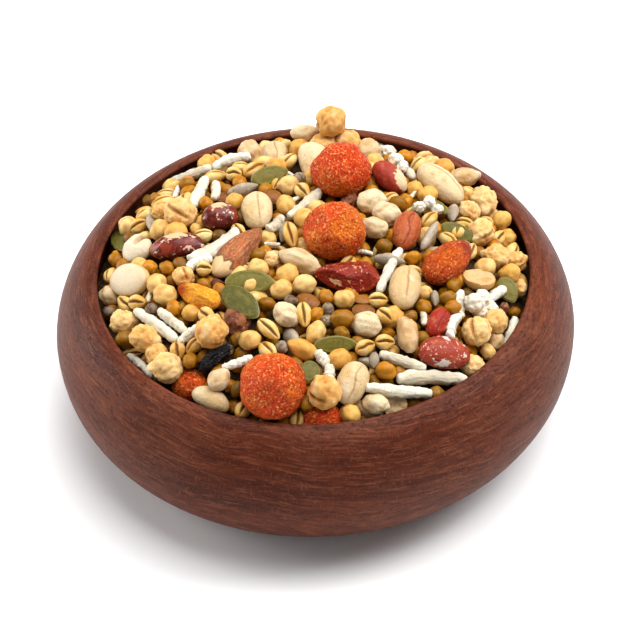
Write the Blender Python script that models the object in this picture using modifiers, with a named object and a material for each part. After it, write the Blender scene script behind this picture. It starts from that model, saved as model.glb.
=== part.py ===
# Wooden bowl heaped with trail mix, in metres, +Z up, with the origin in the middle of the bowl's foot.
#
# The turned bowl closes in towards its mouth. A domed heap of roasted chickpeas, peas, grains, seeds
# and puffed rice fills it. The largest pieces lie in sockets of that heap, each as an object of its
# own: coated balls, almonds, beans, peanuts, a corn kernel and a raisin.

import math
import random

import bmesh
import bpy
from mathutils import Matrix, Vector, noise
from mathutils.bvhtree import BVHTree

MM = 0.001
GAP = 0.3 * MM  # left between neighbours that touch
WELD = 0.01 * MM  # points nearer than this are one

# The bowl: its belly is wider than its foot and its mouth
BOWL_RADIUS = 80.0 * MM
BOWL_HEIGHT = 52.0 * MM
BELLY_HEIGHT = 31.0 * MM
FOOT_RADIUS = 42.0 * MM
MOUTH_RADIUS = 65.9 * MM
LIP_ROUNDING = 0.8 * MM
CAVITY_RADIUS = 69.0 * MM
CAVITY_BELLY_HEIGHT = 30.0 * MM
FLOOR_RADIUS = 38.0 * MM
FLOOR_HEIGHT = 9.0 * MM
UPPER_POWER = 1.67  # of the outline above the belly, where 2 is an ellipse
LOWER_POWER = 2.2
ARC_STEPS = 6
LIP_STEPS = 3
TURN_STEPS = 48
SHARP_ANGLE = math.radians(40)  # edges of the bowl sharper than this are shaded as edges

# The heap: the level of its small pieces' middles, and the bare bed that they are sunk in
HEAP_RADIUS = 65.5 * MM
HEAP_TOP = 62.5 * MM
HEAP_EDGE = 46.5 * MM
HEAP_POWER = 4.5
BED_DEPTH = 2.0 * MM
PIECE_SINK = 0.6 * MM  # how deep the underside of each fused piece lies in the bed
BED_STEPS = 6
BED_TURN_STEPS = 24  # half the bowl's, so that the two facet alike
SLOPE_STEP = 0.5 * MM  # over which the heap's slope is measured

# The photograph's sight lines: they turn a pixel of it into a place on the heap
SIGHT_PITCH = math.radians(42.96)
SIGHT_ROLL = math.radians(-2.25)
SIGHT_DISTANCE = 900.0 * MM
SIGHT_AIM = Vector((1.5, 0.0, 31.1)) * MM
PIXELS_AT_ONE = 2906.5  # pixels across one unit of width at one unit of distance
MIDDLE_PIXEL = 320.0
SIGHT_ROUNDS = 30

# Forms of the long and the large pieces: how far the far end narrows, the waist narrows and the
# middle bows, how rough the surface is, and the segments round and along the piece
FORMS = {
    "ball": {"narrow": 0.0, "waist": 0.0, "bow": 0.0, "rough": 0.05, "round": 12, "along": 8},
    "almond": {"narrow": 0.22, "waist": 0.0, "bow": 0.0, "rough": 0.03, "round": 10, "along": 8},
    "bean": {"narrow": 0.0, "waist": 0.05, "bow": 0.15, "rough": 0.02, "round": 9, "along": 7},
    "peanut": {"narrow": 0.08, "waist": 0.06, "bow": 0.0, "rough": 0.05, "round": 9, "along": 7},
    "claw": {"narrow": 0.45, "waist": 0.0, "bow": 0.25, "rough": 0.02, "round": 9, "along": 7},
    "raisin": {"narrow": 0.0, "waist": 0.1, "bow": 0.1, "rough": 0.2, "round": 8, "along": 7},
    "stick": {"narrow": 0.1, "waist": 0.0, "bow": 0.0, "rough": 0.2, "round": 6, "along": 5},
    "flat_seed": {"narrow": 0.15, "waist": 0.0, "bow": 0.0, "rough": 0.0, "round": 8, "along": 6},
}

LUMP_SCALE = 2.2  # how many lumps the roughness puts across a piece, about
LUMP_SHIFT = 3.7  # between one piece's roughness and the next one's

# Large pieces: form, colour, both ends as pixels of the photograph, then in mm the length, width,
# thickness and how deep the underside lies in the bed, and in degrees the tip up at the back
LARGE_PIECES = {
    "coated_ball_back": ("ball", "coating", (311, 171), (371, 169), 19.5, 19.0, 17.0, 2.0, 0),
    "coated_ball_middle": ("ball", "coating", (303, 232), (366, 230), 19.8, 19.0, 18.0, 2.0, 0),
    "coated_ball_front": ("ball", "coating", (239, 387), (306, 385), 20.4, 20.4, 20.0, 3.5, 0),
    "coated_ball_rim": ("ball", "coating", (302, 420), (342, 420), 12.5, 11.0, 11.0, 6.0, 0),
    "coated_ball_left": ("ball", "coating", (176, 383), (203, 387), 11.5, 10.3, 9.0, 7.2, 0),
    "coated_almond_orange": ("almond", "coating", (424, 279), (473, 243), 20.5, 11.5, 9.5, 0.5, 8),
    "coated_almond_yellow": ("almond", "turmeric", (222, 305), (175, 286), 15.5, 7.8, 7.0, 0.5, 0),
    "almond_cracked": ("almond", "almond_skin", (212, 273), (263, 231), 22.0, 9.5, 7.5, 0.5, 10),
    "almond_dark": ("almond", "almond_skin", (379, 277), (316, 274), 19.8, 11.5, 8.0, 0.5, 8),
    "bean_left": ("bean", "red_bean", (151, 252), (204, 244), 16.8, 9.8, 7.5, 0.5, 10),
    "bean_back": ("bean", "red_bean", (203, 220), (237, 216), 11.5, 10.0, 8.0, 0.8, 10),
    "bean_right": ("bean", "red_bean", (417, 352), (471, 358), 16.5, 10.5, 8.0, 0.5, 0),
    "peanut_red": ("peanut", "red_skin", (446, 309), (430, 337), 11.0, 7.2, 7.0, 1.4, 0),
    "peanut_skin_right": ("peanut", "red_skin", (413, 212), (400, 250), 14.5, 9.0, 8.0, 0.5, 10),
    "peanut_skin_back": ("peanut", "red_skin", (373, 167), (407, 188), 13.5, 8.4, 8.0, 0.5, 20),
    "peanut_wrinkled": ("peanut", "cream", (418, 169), (464, 200), 18.0, 10.5, 9.0, 0.5, 15),
    "kernel_claw": ("claw", "cream", (314, 144), (306, 182), 14.5, 9.5, 7.0, 0.5, 30),
    "peanut_back": ("peanut", "cream", (270, 141), (280, 170), 11.0, 9.3, 7.5, 0.5, 25),
    "peanut_tall": ("peanut", "cream", (257, 192), (257, 230), 14.0, 10.3, 8.0, 0.5, 10),
    "peanut_right": ("peanut", "cream", (408, 264), (402, 312), 16.5, 10.3, 8.5, 0.5, 0),
    "peanut_front": ("peanut", "cream", (360, 362), (344, 405), 13.5, 9.8, 8.0, 0.6, 0),
    "bean_white": ("bean", "cream", (192, 391), (229, 410), 12.5, 7.0, 7.0, 0.4, 0),
    "kernel_corn": ("peanut", "cream", (119, 250), (155, 250), 10.5, 11.5, 6.5, 0.5, 20),
    "raisin": ("raisin", "raisin", (196, 372), (234, 344), 14.0, 5.8, 5.0, 0.4, 0),
}

# Middle-sized pieces of the heap: place in the photograph (pixels) and width (mm)
CHICKPEAS = [
    (180, 213, 10.5), (161, 212, 7.0), (217, 338, 10.5), (168, 378, 9.5),
    (149, 341, 9.0), (123, 322, 8.0), (332, 396, 9.5), (484, 203, 9.5), (502, 214, 8.5),
    (469, 212, 7.5), (479, 233, 8.7), (497, 257, 8.5), (516, 262, 7.0), (480, 279, 9.5),
    (526, 289, 7.0), (477, 331, 9.5), (491, 324, 8.0), (476, 368, 7.0), (396, 403, 7.0),
    (186, 276, 7.0), (110, 293, 7.0), (128, 283, 10.0), (372, 201, 9.0), (366, 151, 9.0),
    (297, 261, 11.0), (376, 228, 9.0), (366, 325, 9.0), (391, 318, 7.0), (286, 315, 8.5),
    (343, 326, 7.5), (250, 340, 6.5), (219, 379, 7.0), (498, 338, 7.0), (375, 404, 8.0),
    (258, 268, 6.5), (163, 296, 7.5),
]
CHICKPEA_HEIGHT = 0.92  # of its width
CHICKPEA_ROUGH = 0.25
FINE_CHICKPEA = 9.0  # mm: wider ones are rounder

# Those that lie on others: place (pixels), width and how much higher they lie (mm)
STACKED_CHICKPEAS = [
    (331, 125, 10.5, 6.9), (322, 146, 9.0, 0.4), (346, 143, 9.0, 1.0), (306, 134, 8.5, 5.0),
    (434, 157, 9.0, 3.0),
]

# Puffed rice, and other long pieces: both ends in the photograph (pixels) and thickness (mm)
STICKS = [
    ((165, 187), (212, 168), 4.2), ((212, 168), (250, 156), 4.0), ((208, 178), (195, 207), 4.2),
    ((186, 262), (236, 232), 4.8), ((319, 189), (287, 216), 4.0), ((377, 143), (415, 178), 3.8),
    ((402, 249), (380, 293), 3.6), ((134, 310), (176, 340), 4.0), ((128, 355), (152, 377), 2.8),
    ((316, 352), (329, 381), 3.6), ((461, 291), (451, 339), 3.6), ((479, 303), (505, 289), 4.4),
    ((516, 314), (501, 350), 3.6), ((382, 353), (429, 368), 3.8), ((395, 379), (466, 382), 5.2),
    ((363, 387), (431, 394), 4.2), ((225, 195), (256, 186), 3.6), ((424, 250), (440, 222), 4.8),
]

# Pumpkin seeds: both ends in the photograph (pixels) and width (mm)
FLAT_SEEDS = [
    ((251, 181), (288, 170), 5.4), ((229, 283), (274, 284), 6.4), ((222, 290), (255, 315), 6.2),
    ((313, 346), (355, 343), 4.6), ((443, 226), (474, 236), 5.0), ((372, 139), (402, 147), 3.2),
    ((500, 281), (512, 303), 4.0),
]
FLAT_SEED_THICKNESS = 2.6 * MM

# Small grains and peas, spread over the heap by a rule
SMALL_PIECES = 230
SMALL_LEAST = 6.4 * MM
SMALL_MOST = 9.2 * MM
SMALL_REACH = 63.0 * MM  # from the bowl's axis to the outermost
SMALL_SLIMMEST = 0.7  # width of the slimmest, of its length
SMALL_CROWDING = 0.74  # of two pieces' summed radii, the nearest their middles come
SMALL_SEED = 7
GOLDEN_TURN = math.radians(137.508)

# Colours (red, green, blue), roughness
COLOURS = {
    "wood": ((0.125, 0.042, 0.027), 0.55),
    "mix": ((0.55, 0.33, 0.12), 0.7),
    "coating": ((0.66, 0.09, 0.02), 0.75),
    "turmeric": ((0.72, 0.33, 0.06), 0.75),
    "almond_skin": ((0.30, 0.07, 0.03), 0.6),
    "red_bean": ((0.13, 0.015, 0.015), 0.45),
    "red_skin": ((0.42, 0.11, 0.06), 0.6),
    "cream": ((0.68, 0.47, 0.25), 0.6),
    "raisin": ((0.015, 0.012, 0.012), 0.5),
}


def arc(middle_radius, middle_height, reach_out, reach_up, power, steps):
    """Points of a quarter oval, from straight out of its middle to straight above or below it."""
    points = []
    for step in range(steps + 1):
        turn = math.radians(90) * step / steps
        out = max(math.cos(turn), 0.0) ** (2 / power)
        up = math.sin(turn) ** (2 / power)
        points.append((middle_radius + reach_out * out, middle_height + reach_up * up))
    return points


def heap_level(radius):
    """Height of the small pieces' middles at a distance from the bowl's axis."""
    return HEAP_EDGE + (HEAP_TOP - HEAP_EDGE) * (1 - (radius / HEAP_RADIUS) ** HEAP_POWER)


def lift_of(thickness, sink):
    """How far a piece's middle lies above the heap's level, when it is sunk that deep in the bed."""
    return thickness / 2 - BED_DEPTH - sink


def heap_normal(point):
    """Direction that faces away from the heap at a point on it."""
    radius = max(point.xy.length, MM)
    slope = (heap_level(radius + SLOPE_STEP) - heap_level(radius)) / SLOPE_STEP
    return Vector((-slope * point.x / radius, -slope * point.y / radius, 1.0)).normalized()


def on_heap(pixel, lift=0.0):
    """Follows a sight line down to the heap, or to a level that much above it."""
    right = Vector((1, 0, 0))
    back = Vector((0, -math.cos(SIGHT_PITCH), math.sin(SIGHT_PITCH)))
    up = Vector((0, math.sin(SIGHT_PITCH), math.cos(SIGHT_PITCH)))
    across = right * math.cos(SIGHT_ROLL) + up * math.sin(SIGHT_ROLL)
    upward = up * math.cos(SIGHT_ROLL) - right * math.sin(SIGHT_ROLL)
    eye = SIGHT_AIM + back * SIGHT_DISTANCE
    sight = across * (pixel[0] - MIDDLE_PIXEL) / PIXELS_AT_ONE - back
    sight += upward * (MIDDLE_PIXEL - pixel[1]) / PIXELS_AT_ONE
    level = HEAP_TOP
    for _ in range(SIGHT_ROUNDS):
        point = eye + sight * (level - eye.z) / sight.z
        level = heap_level(min(point.xy.length, MOUTH_RADIUS)) + lift
    return point


def material(name):
    colour, roughness = COLOURS[name]
    made = bpy.data.materials.get(name)
    if made is None:
        made = bpy.data.materials.new(name)
        made.use_nodes = True
        shader = made.node_tree.nodes["Principled BSDF"]
        shader.inputs["Base Color"].default_value = (*colour, 1)
        shader.inputs["Roughness"].default_value = roughness
    return made


def add_object(name, mesh, collection, place=None):
    """Turns a bmesh or a mesh into an object of the collection."""
    if isinstance(mesh, bmesh.types.BMesh):
        data = bpy.data.meshes.new(name)
        mesh.to_mesh(data)
    else:
        data = mesh
    made = bpy.data.objects.new(name, data)
    collection.objects.link(made)
    if place is not None:
        made.matrix_world = place
    return made


def turned(name, profile, steps, collection):
    """A solid turned round the Z axis from a profile that starts and ends on it."""
    mesh = bpy.data.meshes.new(name)
    points = [(radius, 0.0, height) for radius, height in profile]
    mesh.from_pydata(points, [(i, i + 1) for i in range(len(points) - 1)], [])
    made = add_object(name, mesh, collection)
    screw = made.modifiers.new("turn", "SCREW")
    screw.axis = "Z"
    screw.angle = math.radians(360)
    screw.steps = steps
    screw.render_steps = steps
    screw.use_merge_vertices = True
    screw.merge_threshold = WELD
    return made


def keep_form(made):
    """Replaces an object's mesh by what its modifiers make of it."""
    bpy.context.view_layer.update()
    graph = bpy.context.evaluated_depsgraph_get()
    mesh = bpy.data.meshes.new_from_object(made.evaluated_get(graph))
    made.modifiers.clear()
    made.data = mesh


def inner_wall(inset=0.0):
    """The bowl's inside from its lip down to its floor, or the outline of what fits it with a gap."""
    depth = BOWL_HEIGHT - LIP_ROUNDING - CAVITY_BELLY_HEIGHT
    reach = CAVITY_RADIUS - MOUTH_RADIUS
    drop = FLOOR_HEIGHT + inset - CAVITY_BELLY_HEIGHT
    width = CAVITY_RADIUS - inset - FLOOR_RADIUS
    upper = arc(MOUTH_RADIUS - inset, CAVITY_BELLY_HEIGHT, reach, depth, 2, ARC_STEPS)
    lower = arc(FLOOR_RADIUS, CAVITY_BELLY_HEIGHT, width, drop, LOWER_POWER, ARC_STEPS)
    return upper[::-1] + lower[1:]


def make_bowl(collection):
    lip_radius = MOUTH_RADIUS + LIP_ROUNDING
    lip_height = BOWL_HEIGHT - LIP_ROUNDING
    lip = arc(lip_radius, lip_height, -LIP_ROUNDING, LIP_ROUNDING, 2, LIP_STEPS)
    upper = arc(
        lip_radius,
        BELLY_HEIGHT,
        BOWL_RADIUS - lip_radius,
        BOWL_HEIGHT - BELLY_HEIGHT,
        UPPER_POWER,
        ARC_STEPS,
    )
    lower = arc(
        FOOT_RADIUS,
        BELLY_HEIGHT,
        BOWL_RADIUS - FOOT_RADIUS,
        -BELLY_HEIGHT,
        LOWER_POWER,
        ARC_STEPS,
    )
    inside = inner_wall()[::-1]
    profile = [(0.0, FLOOR_HEIGHT)] + inside + lip[1:] + upper[::-1][1:] + lower[1:] + [(0.0, 0.0)]
    bowl = turned("bowl", profile, TURN_STEPS, collection)
    keep_form(bowl)
    bowl.data.materials.append(material("wood"))
    return bowl


def make_bed(collection):
    """The bare heap, which fits the cavity with a gap all round."""
    edge_height = heap_level(HEAP_RADIUS) - BED_DEPTH
    wall = [point for point in inner_wall(GAP) if point[1] < edge_height]
    dome = []
    for step in range(BED_STEPS + 1):
        radius = HEAP_RADIUS * step / BED_STEPS
        dome.append((radius, heap_level(radius) - BED_DEPTH))
    profile = dome + wall + [(0.0, FLOOR_HEIGHT + GAP)]
    bed = turned("mix_heap", profile, BED_TURN_STEPS, collection)
    keep_form(bed)
    return bed


def lump(form, length, width, thickness, seed=0.0):
    """A rounded piece that lies along X."""
    mesh = bmesh.new()
    bmesh.ops.create_uvsphere(
        mesh, u_segments=form["round"], v_segments=form["along"], radius=1.0
    )
    for vert in mesh.verts:
        side, up, along = vert.co
        middle = 1 - along * along
        girth = (1 - form["narrow"] * along) * (1 - form["waist"] * middle)
        girth *= 1 + form["rough"] * noise.noise(vert.co * LUMP_SCALE + Vector((seed, 0, 0)))
        vert.co = (
            along * length / 2,
            side * girth * width / 2 + form["bow"] * middle * width / 2,
            up * girth * thickness / 2,
        )
    return mesh


def pebble(width, length, height, fineness, rough, seed):
    """A rounded piece with few faces: the fineness is an icosphere's."""
    mesh = bmesh.new()
    bmesh.ops.create_icosphere(mesh, subdivisions=fineness, radius=1.0)
    for vert in mesh.verts:
        swell = 1 + rough * noise.noise(vert.co * LUMP_SCALE + Vector((seed, 0, 0)))
        vert.co = Vector((vert.co.x * length, vert.co.y * width, vert.co.z * height)) * swell / 2
    return mesh


def placed(first, second, tip=0.0):
    """Matrix that lays a piece made along X between two points of the heap, tipped up at the back."""
    middle = (first + second) / 2
    along = (second - first).normalized()
    side = heap_normal(middle).cross(along).normalized()
    up = along.cross(side)
    turn = Matrix((along, side, up)).transposed().to_4x4()
    return Matrix.Translation(middle) @ Matrix.Rotation(math.radians(tip), 4, "X") @ turn


def swollen(mesh, distance):
    """A copy of a mesh with each point moved out along its normal."""
    copy = mesh.copy()
    copy.normal_update()
    for vert in copy.verts:
        vert.co += vert.normal * distance
    return copy


def search_tree(mesh, place):
    """Tree for finding what a mesh touches, with the mesh at its place."""
    copy = mesh.copy()
    bmesh.ops.transform(copy, matrix=place, verts=copy.verts)
    tree = BVHTree.FromBMesh(copy)
    copy.free()
    return tree


def make_large_pieces(collection, cutters):
    """The large pieces, a cutter for the socket of each, and their search trees."""
    trees = []
    for number, (name, row) in enumerate(LARGE_PIECES.items()):
        form, colour, end, other_end, length, width, thickness, sink, tip = row
        lift = lift_of(thickness * MM, sink * MM)
        first = on_heap(end, lift)
        second = on_heap(other_end, lift)
        place = placed(first, second, tip)
        seed = number * LUMP_SHIFT
        mesh = lump(FORMS[form], length * MM, width * MM, thickness * MM, seed)
        piece = add_object(name, mesh, collection, place)
        piece.data.shade_smooth()
        piece.data.materials.append(material(colour))
        room = swollen(mesh, GAP)
        cutter = add_object(name + "_socket", room, cutters, place)
        cutter.hide_render = True
        cutter.display_type = "WIRE"
        trees.append(search_tree(room, place))
    return trees


def blocked(mesh, place, trees):
    """Whether a small piece would cross or lie inside something that it has to leave free."""
    own = search_tree(mesh, place)
    for tree in trees:
        if own.overlap(tree):
            return True
        near, normal, _, _ = tree.find_nearest(place.translation)
        if (place.translation - near).dot(normal) < 0:
            return True
    return False


def kept_inside(point, reach):
    """The point, moved in from the bowl's wall where a piece of that reach would touch it."""
    most = MOUTH_RADIUS - 2 * GAP - reach
    radius = point.xy.length
    if radius <= most:
        return point
    return Vector((point.x * most / radius, point.y * most / radius, point.z))


def flat_place(point, turn):
    """Matrix for a piece at a point of the heap, turned about the heap's normal."""
    direction = Vector((math.cos(turn), math.sin(turn), 0.0)) * MM
    return placed(point - direction, point + direction)


def small_pieces():
    """Each small or middle-sized piece of the heap, as (mesh, place, radius)."""
    draw = random.Random(SMALL_SEED)
    flat_chickpeas = [(*chickpea, 0.0) for chickpea in CHICKPEAS]
    for x, y, width, raised in flat_chickpeas + STACKED_CHICKPEAS:
        size = width * MM
        lift = lift_of(size * CHICKPEA_HEIGHT, PIECE_SINK) + raised * MM
        point = kept_inside(on_heap((x, y), lift), size / 2)
        place = flat_place(point, draw.uniform(0, math.pi))
        fineness = 2 if width > FINE_CHICKPEA else 1
        mesh = pebble(size, size, size * CHICKPEA_HEIGHT, fineness, CHICKPEA_ROUGH, x)
        yield mesh, place, size / 2
    for end, other_end, width in STICKS:
        size = width * MM
        lift = lift_of(size, PIECE_SINK)
        first = on_heap(end, lift)
        second = on_heap(other_end, lift)
        mesh = lump(FORMS["stick"], (second - first).length, size, size, end[0])
        yield mesh, placed(first, second), size
    for end, other_end, width in FLAT_SEEDS:
        lift = lift_of(FLAT_SEED_THICKNESS, PIECE_SINK)
        first = on_heap(end, lift)
        second = on_heap(other_end, lift)
        length = (second - first).length
        mesh = lump(FORMS["flat_seed"], length, width * MM, FLAT_SEED_THICKNESS)
        yield mesh, placed(first, second), width * MM / 2
    for number in range(SMALL_PIECES):
        radius = SMALL_REACH * math.sqrt((number + 0.5) / SMALL_PIECES)
        turn = number * GOLDEN_TURN
        size = draw.uniform(SMALL_LEAST, SMALL_MOST)
        slim = draw.uniform(SMALL_SLIMMEST, 1.0)
        turned_by = draw.uniform(0, math.pi)
        point = Vector((radius * math.cos(turn), radius * math.sin(turn), heap_level(radius)))
        point = kept_inside(point, size / 2)
        mesh = pebble(size * slim, size, size * slim, 1, 0.0, number)
        yield mesh, flat_place(point, turned_by), size / 2


def cut_or_join(made, operation, others):
    """Cuts a collection's objects out of an object, or joins them to it, and removes them."""
    boolean = made.modifiers.new(operation.lower(), "BOOLEAN")
    boolean.operation = operation
    boolean.operand_type = "COLLECTION"
    boolean.collection = others
    boolean.solver = "MANIFOLD"
    keep_form(made)
    for other in list(others.objects):
        bpy.data.objects.remove(other)
    bpy.data.collections.remove(others)


def shell_volume(faces):
    """Volume inside a closed set of triangles: negative for the wall of a hollow."""
    total = 0.0
    for face in faces:
        first, second, third = (vert.co for vert in face.verts)
        total += first.dot(second.cross(third)) / 6
    return total


def keep_main_shell(made):
    """Fills sealed hollows and drops loose scraps, by keeping only the largest closed shell."""
    mesh = bmesh.new()
    mesh.from_mesh(made.data)
    bmesh.ops.triangulate(mesh, faces=mesh.faces)
    left = set(mesh.faces)
    shells = []
    while left:
        front = [left.pop()]
        shell = set(front)
        while front:
            face = front.pop()
            for edge in face.edges:
                for other in edge.link_faces:
                    if other in left:
                        left.remove(other)
                        shell.add(other)
                        front.append(other)
        shells.append(shell)
    largest = max(shells, key=shell_volume)
    spare = [face for face in mesh.faces if face not in largest]
    bmesh.ops.delete(mesh, geom=spare, context="FACES")
    mesh.to_mesh(made.data)
    mesh.free()


def make_heap(collection, cutters, bowl, trees):
    bed = make_bed(collection)
    cut_or_join(bed, "DIFFERENCE", cutters)
    pieces = bpy.data.collections.new("small_pieces")
    bpy.context.scene.collection.children.link(pieces)
    wall = bmesh.new()
    wall.from_mesh(bowl.data)
    wall_tree = search_tree(wall, Matrix.Identity(4))
    laid = []
    for mesh, place, radius in small_pieces():
        middle = place.translation
        crowded = any(
            (middle - other).length < SMALL_CROWDING * (radius + reach) for other, reach in laid
        )
        if crowded or blocked(mesh, place, trees):
            continue
        if search_tree(swollen(mesh, GAP), place).overlap(wall_tree):
            continue
        laid.append((middle, radius))
        add_object("small_piece", mesh, pieces, place)
    print(len(laid), "small pieces fused to the heap")
    cut_or_join(bed, "UNION", pieces)
    keep_main_shell(bed)
    bed.data.materials.clear()
    bed.data.materials.append(material("mix"))
    return bed


def main():
    for old in list(bpy.data.objects):
        bpy.data.objects.remove(old)
    collection = bpy.data.collections.new("trail_mix_bowl")
    cutters = bpy.data.collections.new("cutters")
    for made in (collection, cutters):
        bpy.context.scene.collection.children.link(made)
    bowl = make_bowl(collection)
    trees = make_large_pieces(collection, cutters)
    make_heap(collection, cutters, bowl, trees)
    bowl.data.shade_smooth()
    bowl.data.set_sharp_from_angle(angle=SHARP_ANGLE)


main()
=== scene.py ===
import math
import random

import bpy
import numpy as np
from mathutils import Matrix, Vector, noise


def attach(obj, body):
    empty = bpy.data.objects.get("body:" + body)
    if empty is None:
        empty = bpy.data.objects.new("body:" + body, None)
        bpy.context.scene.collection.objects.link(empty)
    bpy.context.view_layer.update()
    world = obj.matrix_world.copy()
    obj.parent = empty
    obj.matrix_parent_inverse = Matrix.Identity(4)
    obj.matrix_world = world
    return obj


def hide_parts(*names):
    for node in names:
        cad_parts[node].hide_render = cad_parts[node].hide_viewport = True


# A wooden bowl heaped with trail mix. Lengths are in mm here, and become metres when a mesh is made.

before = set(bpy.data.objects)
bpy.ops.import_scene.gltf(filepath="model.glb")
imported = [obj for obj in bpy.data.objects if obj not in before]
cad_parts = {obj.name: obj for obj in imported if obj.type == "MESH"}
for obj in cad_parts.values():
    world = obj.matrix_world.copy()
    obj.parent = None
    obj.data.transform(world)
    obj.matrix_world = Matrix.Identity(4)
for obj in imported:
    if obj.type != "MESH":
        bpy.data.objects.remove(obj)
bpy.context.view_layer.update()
mm = 0.001

# where a pixel of the photograph lies on the heap
sight = {
    "pitch": math.radians(42.96),
    "roll": math.radians(-2.25),
    "distance": 900.0,
    "aim": Vector((1.5, 0.0, 31.1)),
    "pixelsAtOne": 2906.5,
    "middlePixel": 320.0,
    "sensor": 36.0,
    "imageWidth": 640,
    "nearest": 0.01,
    "rounds": 30,  # steps taken to meet the heap's level
}

# the heap: level of its small pieces' middles, from the top out to the wall
heap = {
    "radius": 65.5,
    "top": 62.5,
    "edge": 46.5,
    "power": 4.5,
    "bedDepth": 2.0,  # how far the bed that pieces lie in is under that level
    "coreDepth": 5.2,  # how far the hidden core lies under that level
    "sink": 0.6,  # how deep a small piece sinks in
    "mouth": 65.9,
    "slopeStep": 0.5,
}


def heapLevel(radius):
    rise = 1 - (radius / heap["radius"]) ** heap["power"]
    return heap["edge"] + (heap["top"] - heap["edge"]) * rise


def heapNormal(point):
    radius = max(point.xy.length, 1.0)
    step = heap["slopeStep"]
    slope = (heapLevel(radius + step) - heapLevel(radius)) / step
    return Vector((-slope * point.x / radius, -slope * point.y / radius, 1.0)).normalized()


def sightAxes():
    pitch, roll = sight["pitch"], sight["roll"]
    right = Vector((1, 0, 0))
    back = Vector((0, -math.cos(pitch), math.sin(pitch)))
    up = Vector((0, math.sin(pitch), math.cos(pitch)))
    across = right * math.cos(roll) + up * math.sin(roll)
    upward = up * math.cos(roll) - right * math.sin(roll)
    return across, upward, back


def onHeap(x, y, lift=0.0):
    across, upward, back = sightAxes()
    eye = sight["aim"] + back * sight["distance"]
    line = across * (x - sight["middlePixel"]) / sight["pixelsAtOne"] - back
    line += upward * (sight["middlePixel"] - y) / sight["pixelsAtOne"]
    level = heap["top"]
    for _ in range(sight["rounds"]):
        point = eye + line * (level - eye.z) / line.z
        level = heapLevel(min(point.xy.length, heap["mouth"])) + lift
    return point


def liftOf(thickness, sink):
    return thickness / 2 - heap["bedDepth"] - sink


def turnFor(point, along):
    # axes of a piece that lies along a direction on the heap
    along = along.normalized()
    side = heapNormal(point).cross(along).normalized()
    return Matrix((along, side, along.cross(side))).transposed()


# meshes
def quadBall(count):
    # a ball of even squares: points on the unit sphere, and faces
    points, faces, seen = [], [], {}
    axes = [(0, 1, 2), (1, 2, 0), (2, 0, 1)]
    for a, b, c in axes:
        for sign in (1, -1):
            grid = []
            for i in range(count + 1):
                row = []
                for j in range(count + 1):
                    spot = [0.0, 0.0, 0.0]
                    spot[a] = float(sign)
                    spot[b] = math.tan((i / count - 0.5) * math.pi / 2)
                    spot[c] = math.tan((j / count - 0.5) * math.pi / 2)
                    unit = Vector(spot).normalized()
                    key = (round(unit.x, 5), round(unit.y, 5), round(unit.z, 5))
                    if key not in seen:
                        seen[key] = len(points)
                        points.append(unit)
                    row.append(seen[key])
                grid.append(row)
            for i in range(count):
                for j in range(count):
                    face = [grid[i][j], grid[i + 1][j], grid[i + 1][j + 1], grid[i][j + 1]]
                    faces.append(face if sign > 0 else face[::-1])
    return points, np.array(faces)


ballStore = {}


def unitBall(count):
    if count not in ballStore:
        ballStore[count] = quadBall(count)
    return ballStore[count]


def soft(value, spot, width):
    # 1 at a spot, falling off smoothly on both sides
    return math.exp(-(((value - spot) / width) ** 2))


def lump(place, scale, seed=0.0, axis=0):
    # smooth lumps from -1 to 1, others for each seed
    shift = Vector((0, 0, 0))
    shift[axis] = seed
    return noise.noise(place * scale + shift)


def meshObject(name, points, faces, unit, tone, swell):
    # one mesh; each point has its place on its own piece, the piece's tone, and how far it stands out
    mesh = bpy.data.meshes.new(name)
    mesh.vertices.add(len(points))
    mesh.vertices.foreach_set("co", (np.asarray(points) * mm).astype(np.float32).ravel())
    mesh.loops.add(faces.size)
    mesh.loops.foreach_set("vertex_index", faces.astype(np.int32).ravel())
    mesh.polygons.add(len(faces))
    corners = faces.shape[1]
    mesh.polygons.foreach_set("loop_start", np.arange(0, faces.size, corners, dtype=np.int32))
    mesh.update(calc_edges=True)
    mesh.validate()
    rows = [
        ("pieceSpot", "FLOAT_VECTOR", "vector", unit),
        ("pieceTone", "FLOAT", "value", tone),
        ("pieceSwell", "FLOAT", "value", swell),
    ]
    for title, kind, field, values in rows:
        layer = mesh.attributes.new(title, kind, "POINT")
        layer.data.foreach_set(field, np.asarray(values, dtype=np.float32).ravel())
    mesh.shade_smooth()
    made = bpy.data.objects.new(name, mesh)
    bpy.context.scene.collection.objects.link(made)
    return made


# material helpers
finishes = {
    "specular": 0.18,  # weak gloss, as of dry food and oiled wood
    "depth": 1.42,  # power that deepens the food's colours
    "scatter": (1.0, 0.5, 0.25),  # how far red, green and blue light go into food
    "scatterReach": 1.2,
}


def startMaterial(name, roughness, glow=0.0, coat=0.0):
    made = bpy.data.materials.new(name)
    made.use_nodes = True
    shader = made.node_tree.nodes["Principled BSDF"]
    shader.inputs["Roughness"].default_value = roughness
    shader.inputs["Subsurface Weight"].default_value = glow
    shader.inputs["Subsurface Radius"].default_value = finishes["scatter"]
    shader.inputs["Subsurface Scale"].default_value = finishes["scatterReach"] * mm
    shader.inputs["Coat Weight"].default_value = coat
    shader.inputs["Specular IOR Level"].default_value = finishes["specular"]
    return made, made.node_tree, shader


def addNoise(tree, scale, detail, rough, source=None, stretch=None):
    # scale is lumps per metre when the source is the object's own space
    made = tree.nodes.new("ShaderNodeTexNoise")
    made.inputs["Scale"].default_value = scale
    made.inputs["Detail"].default_value = detail
    made.inputs["Roughness"].default_value = rough
    if source is None:
        source = tree.nodes.new("ShaderNodeTexCoord").outputs["Object"]
    if stretch:
        mapping = tree.nodes.new("ShaderNodeMapping")
        mapping.inputs["Scale"].default_value = stretch
        tree.links.new(source, mapping.inputs["Vector"])
        source = mapping.outputs["Vector"]
    tree.links.new(source, made.inputs["Vector"])
    return made.outputs["Fac"]


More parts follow.
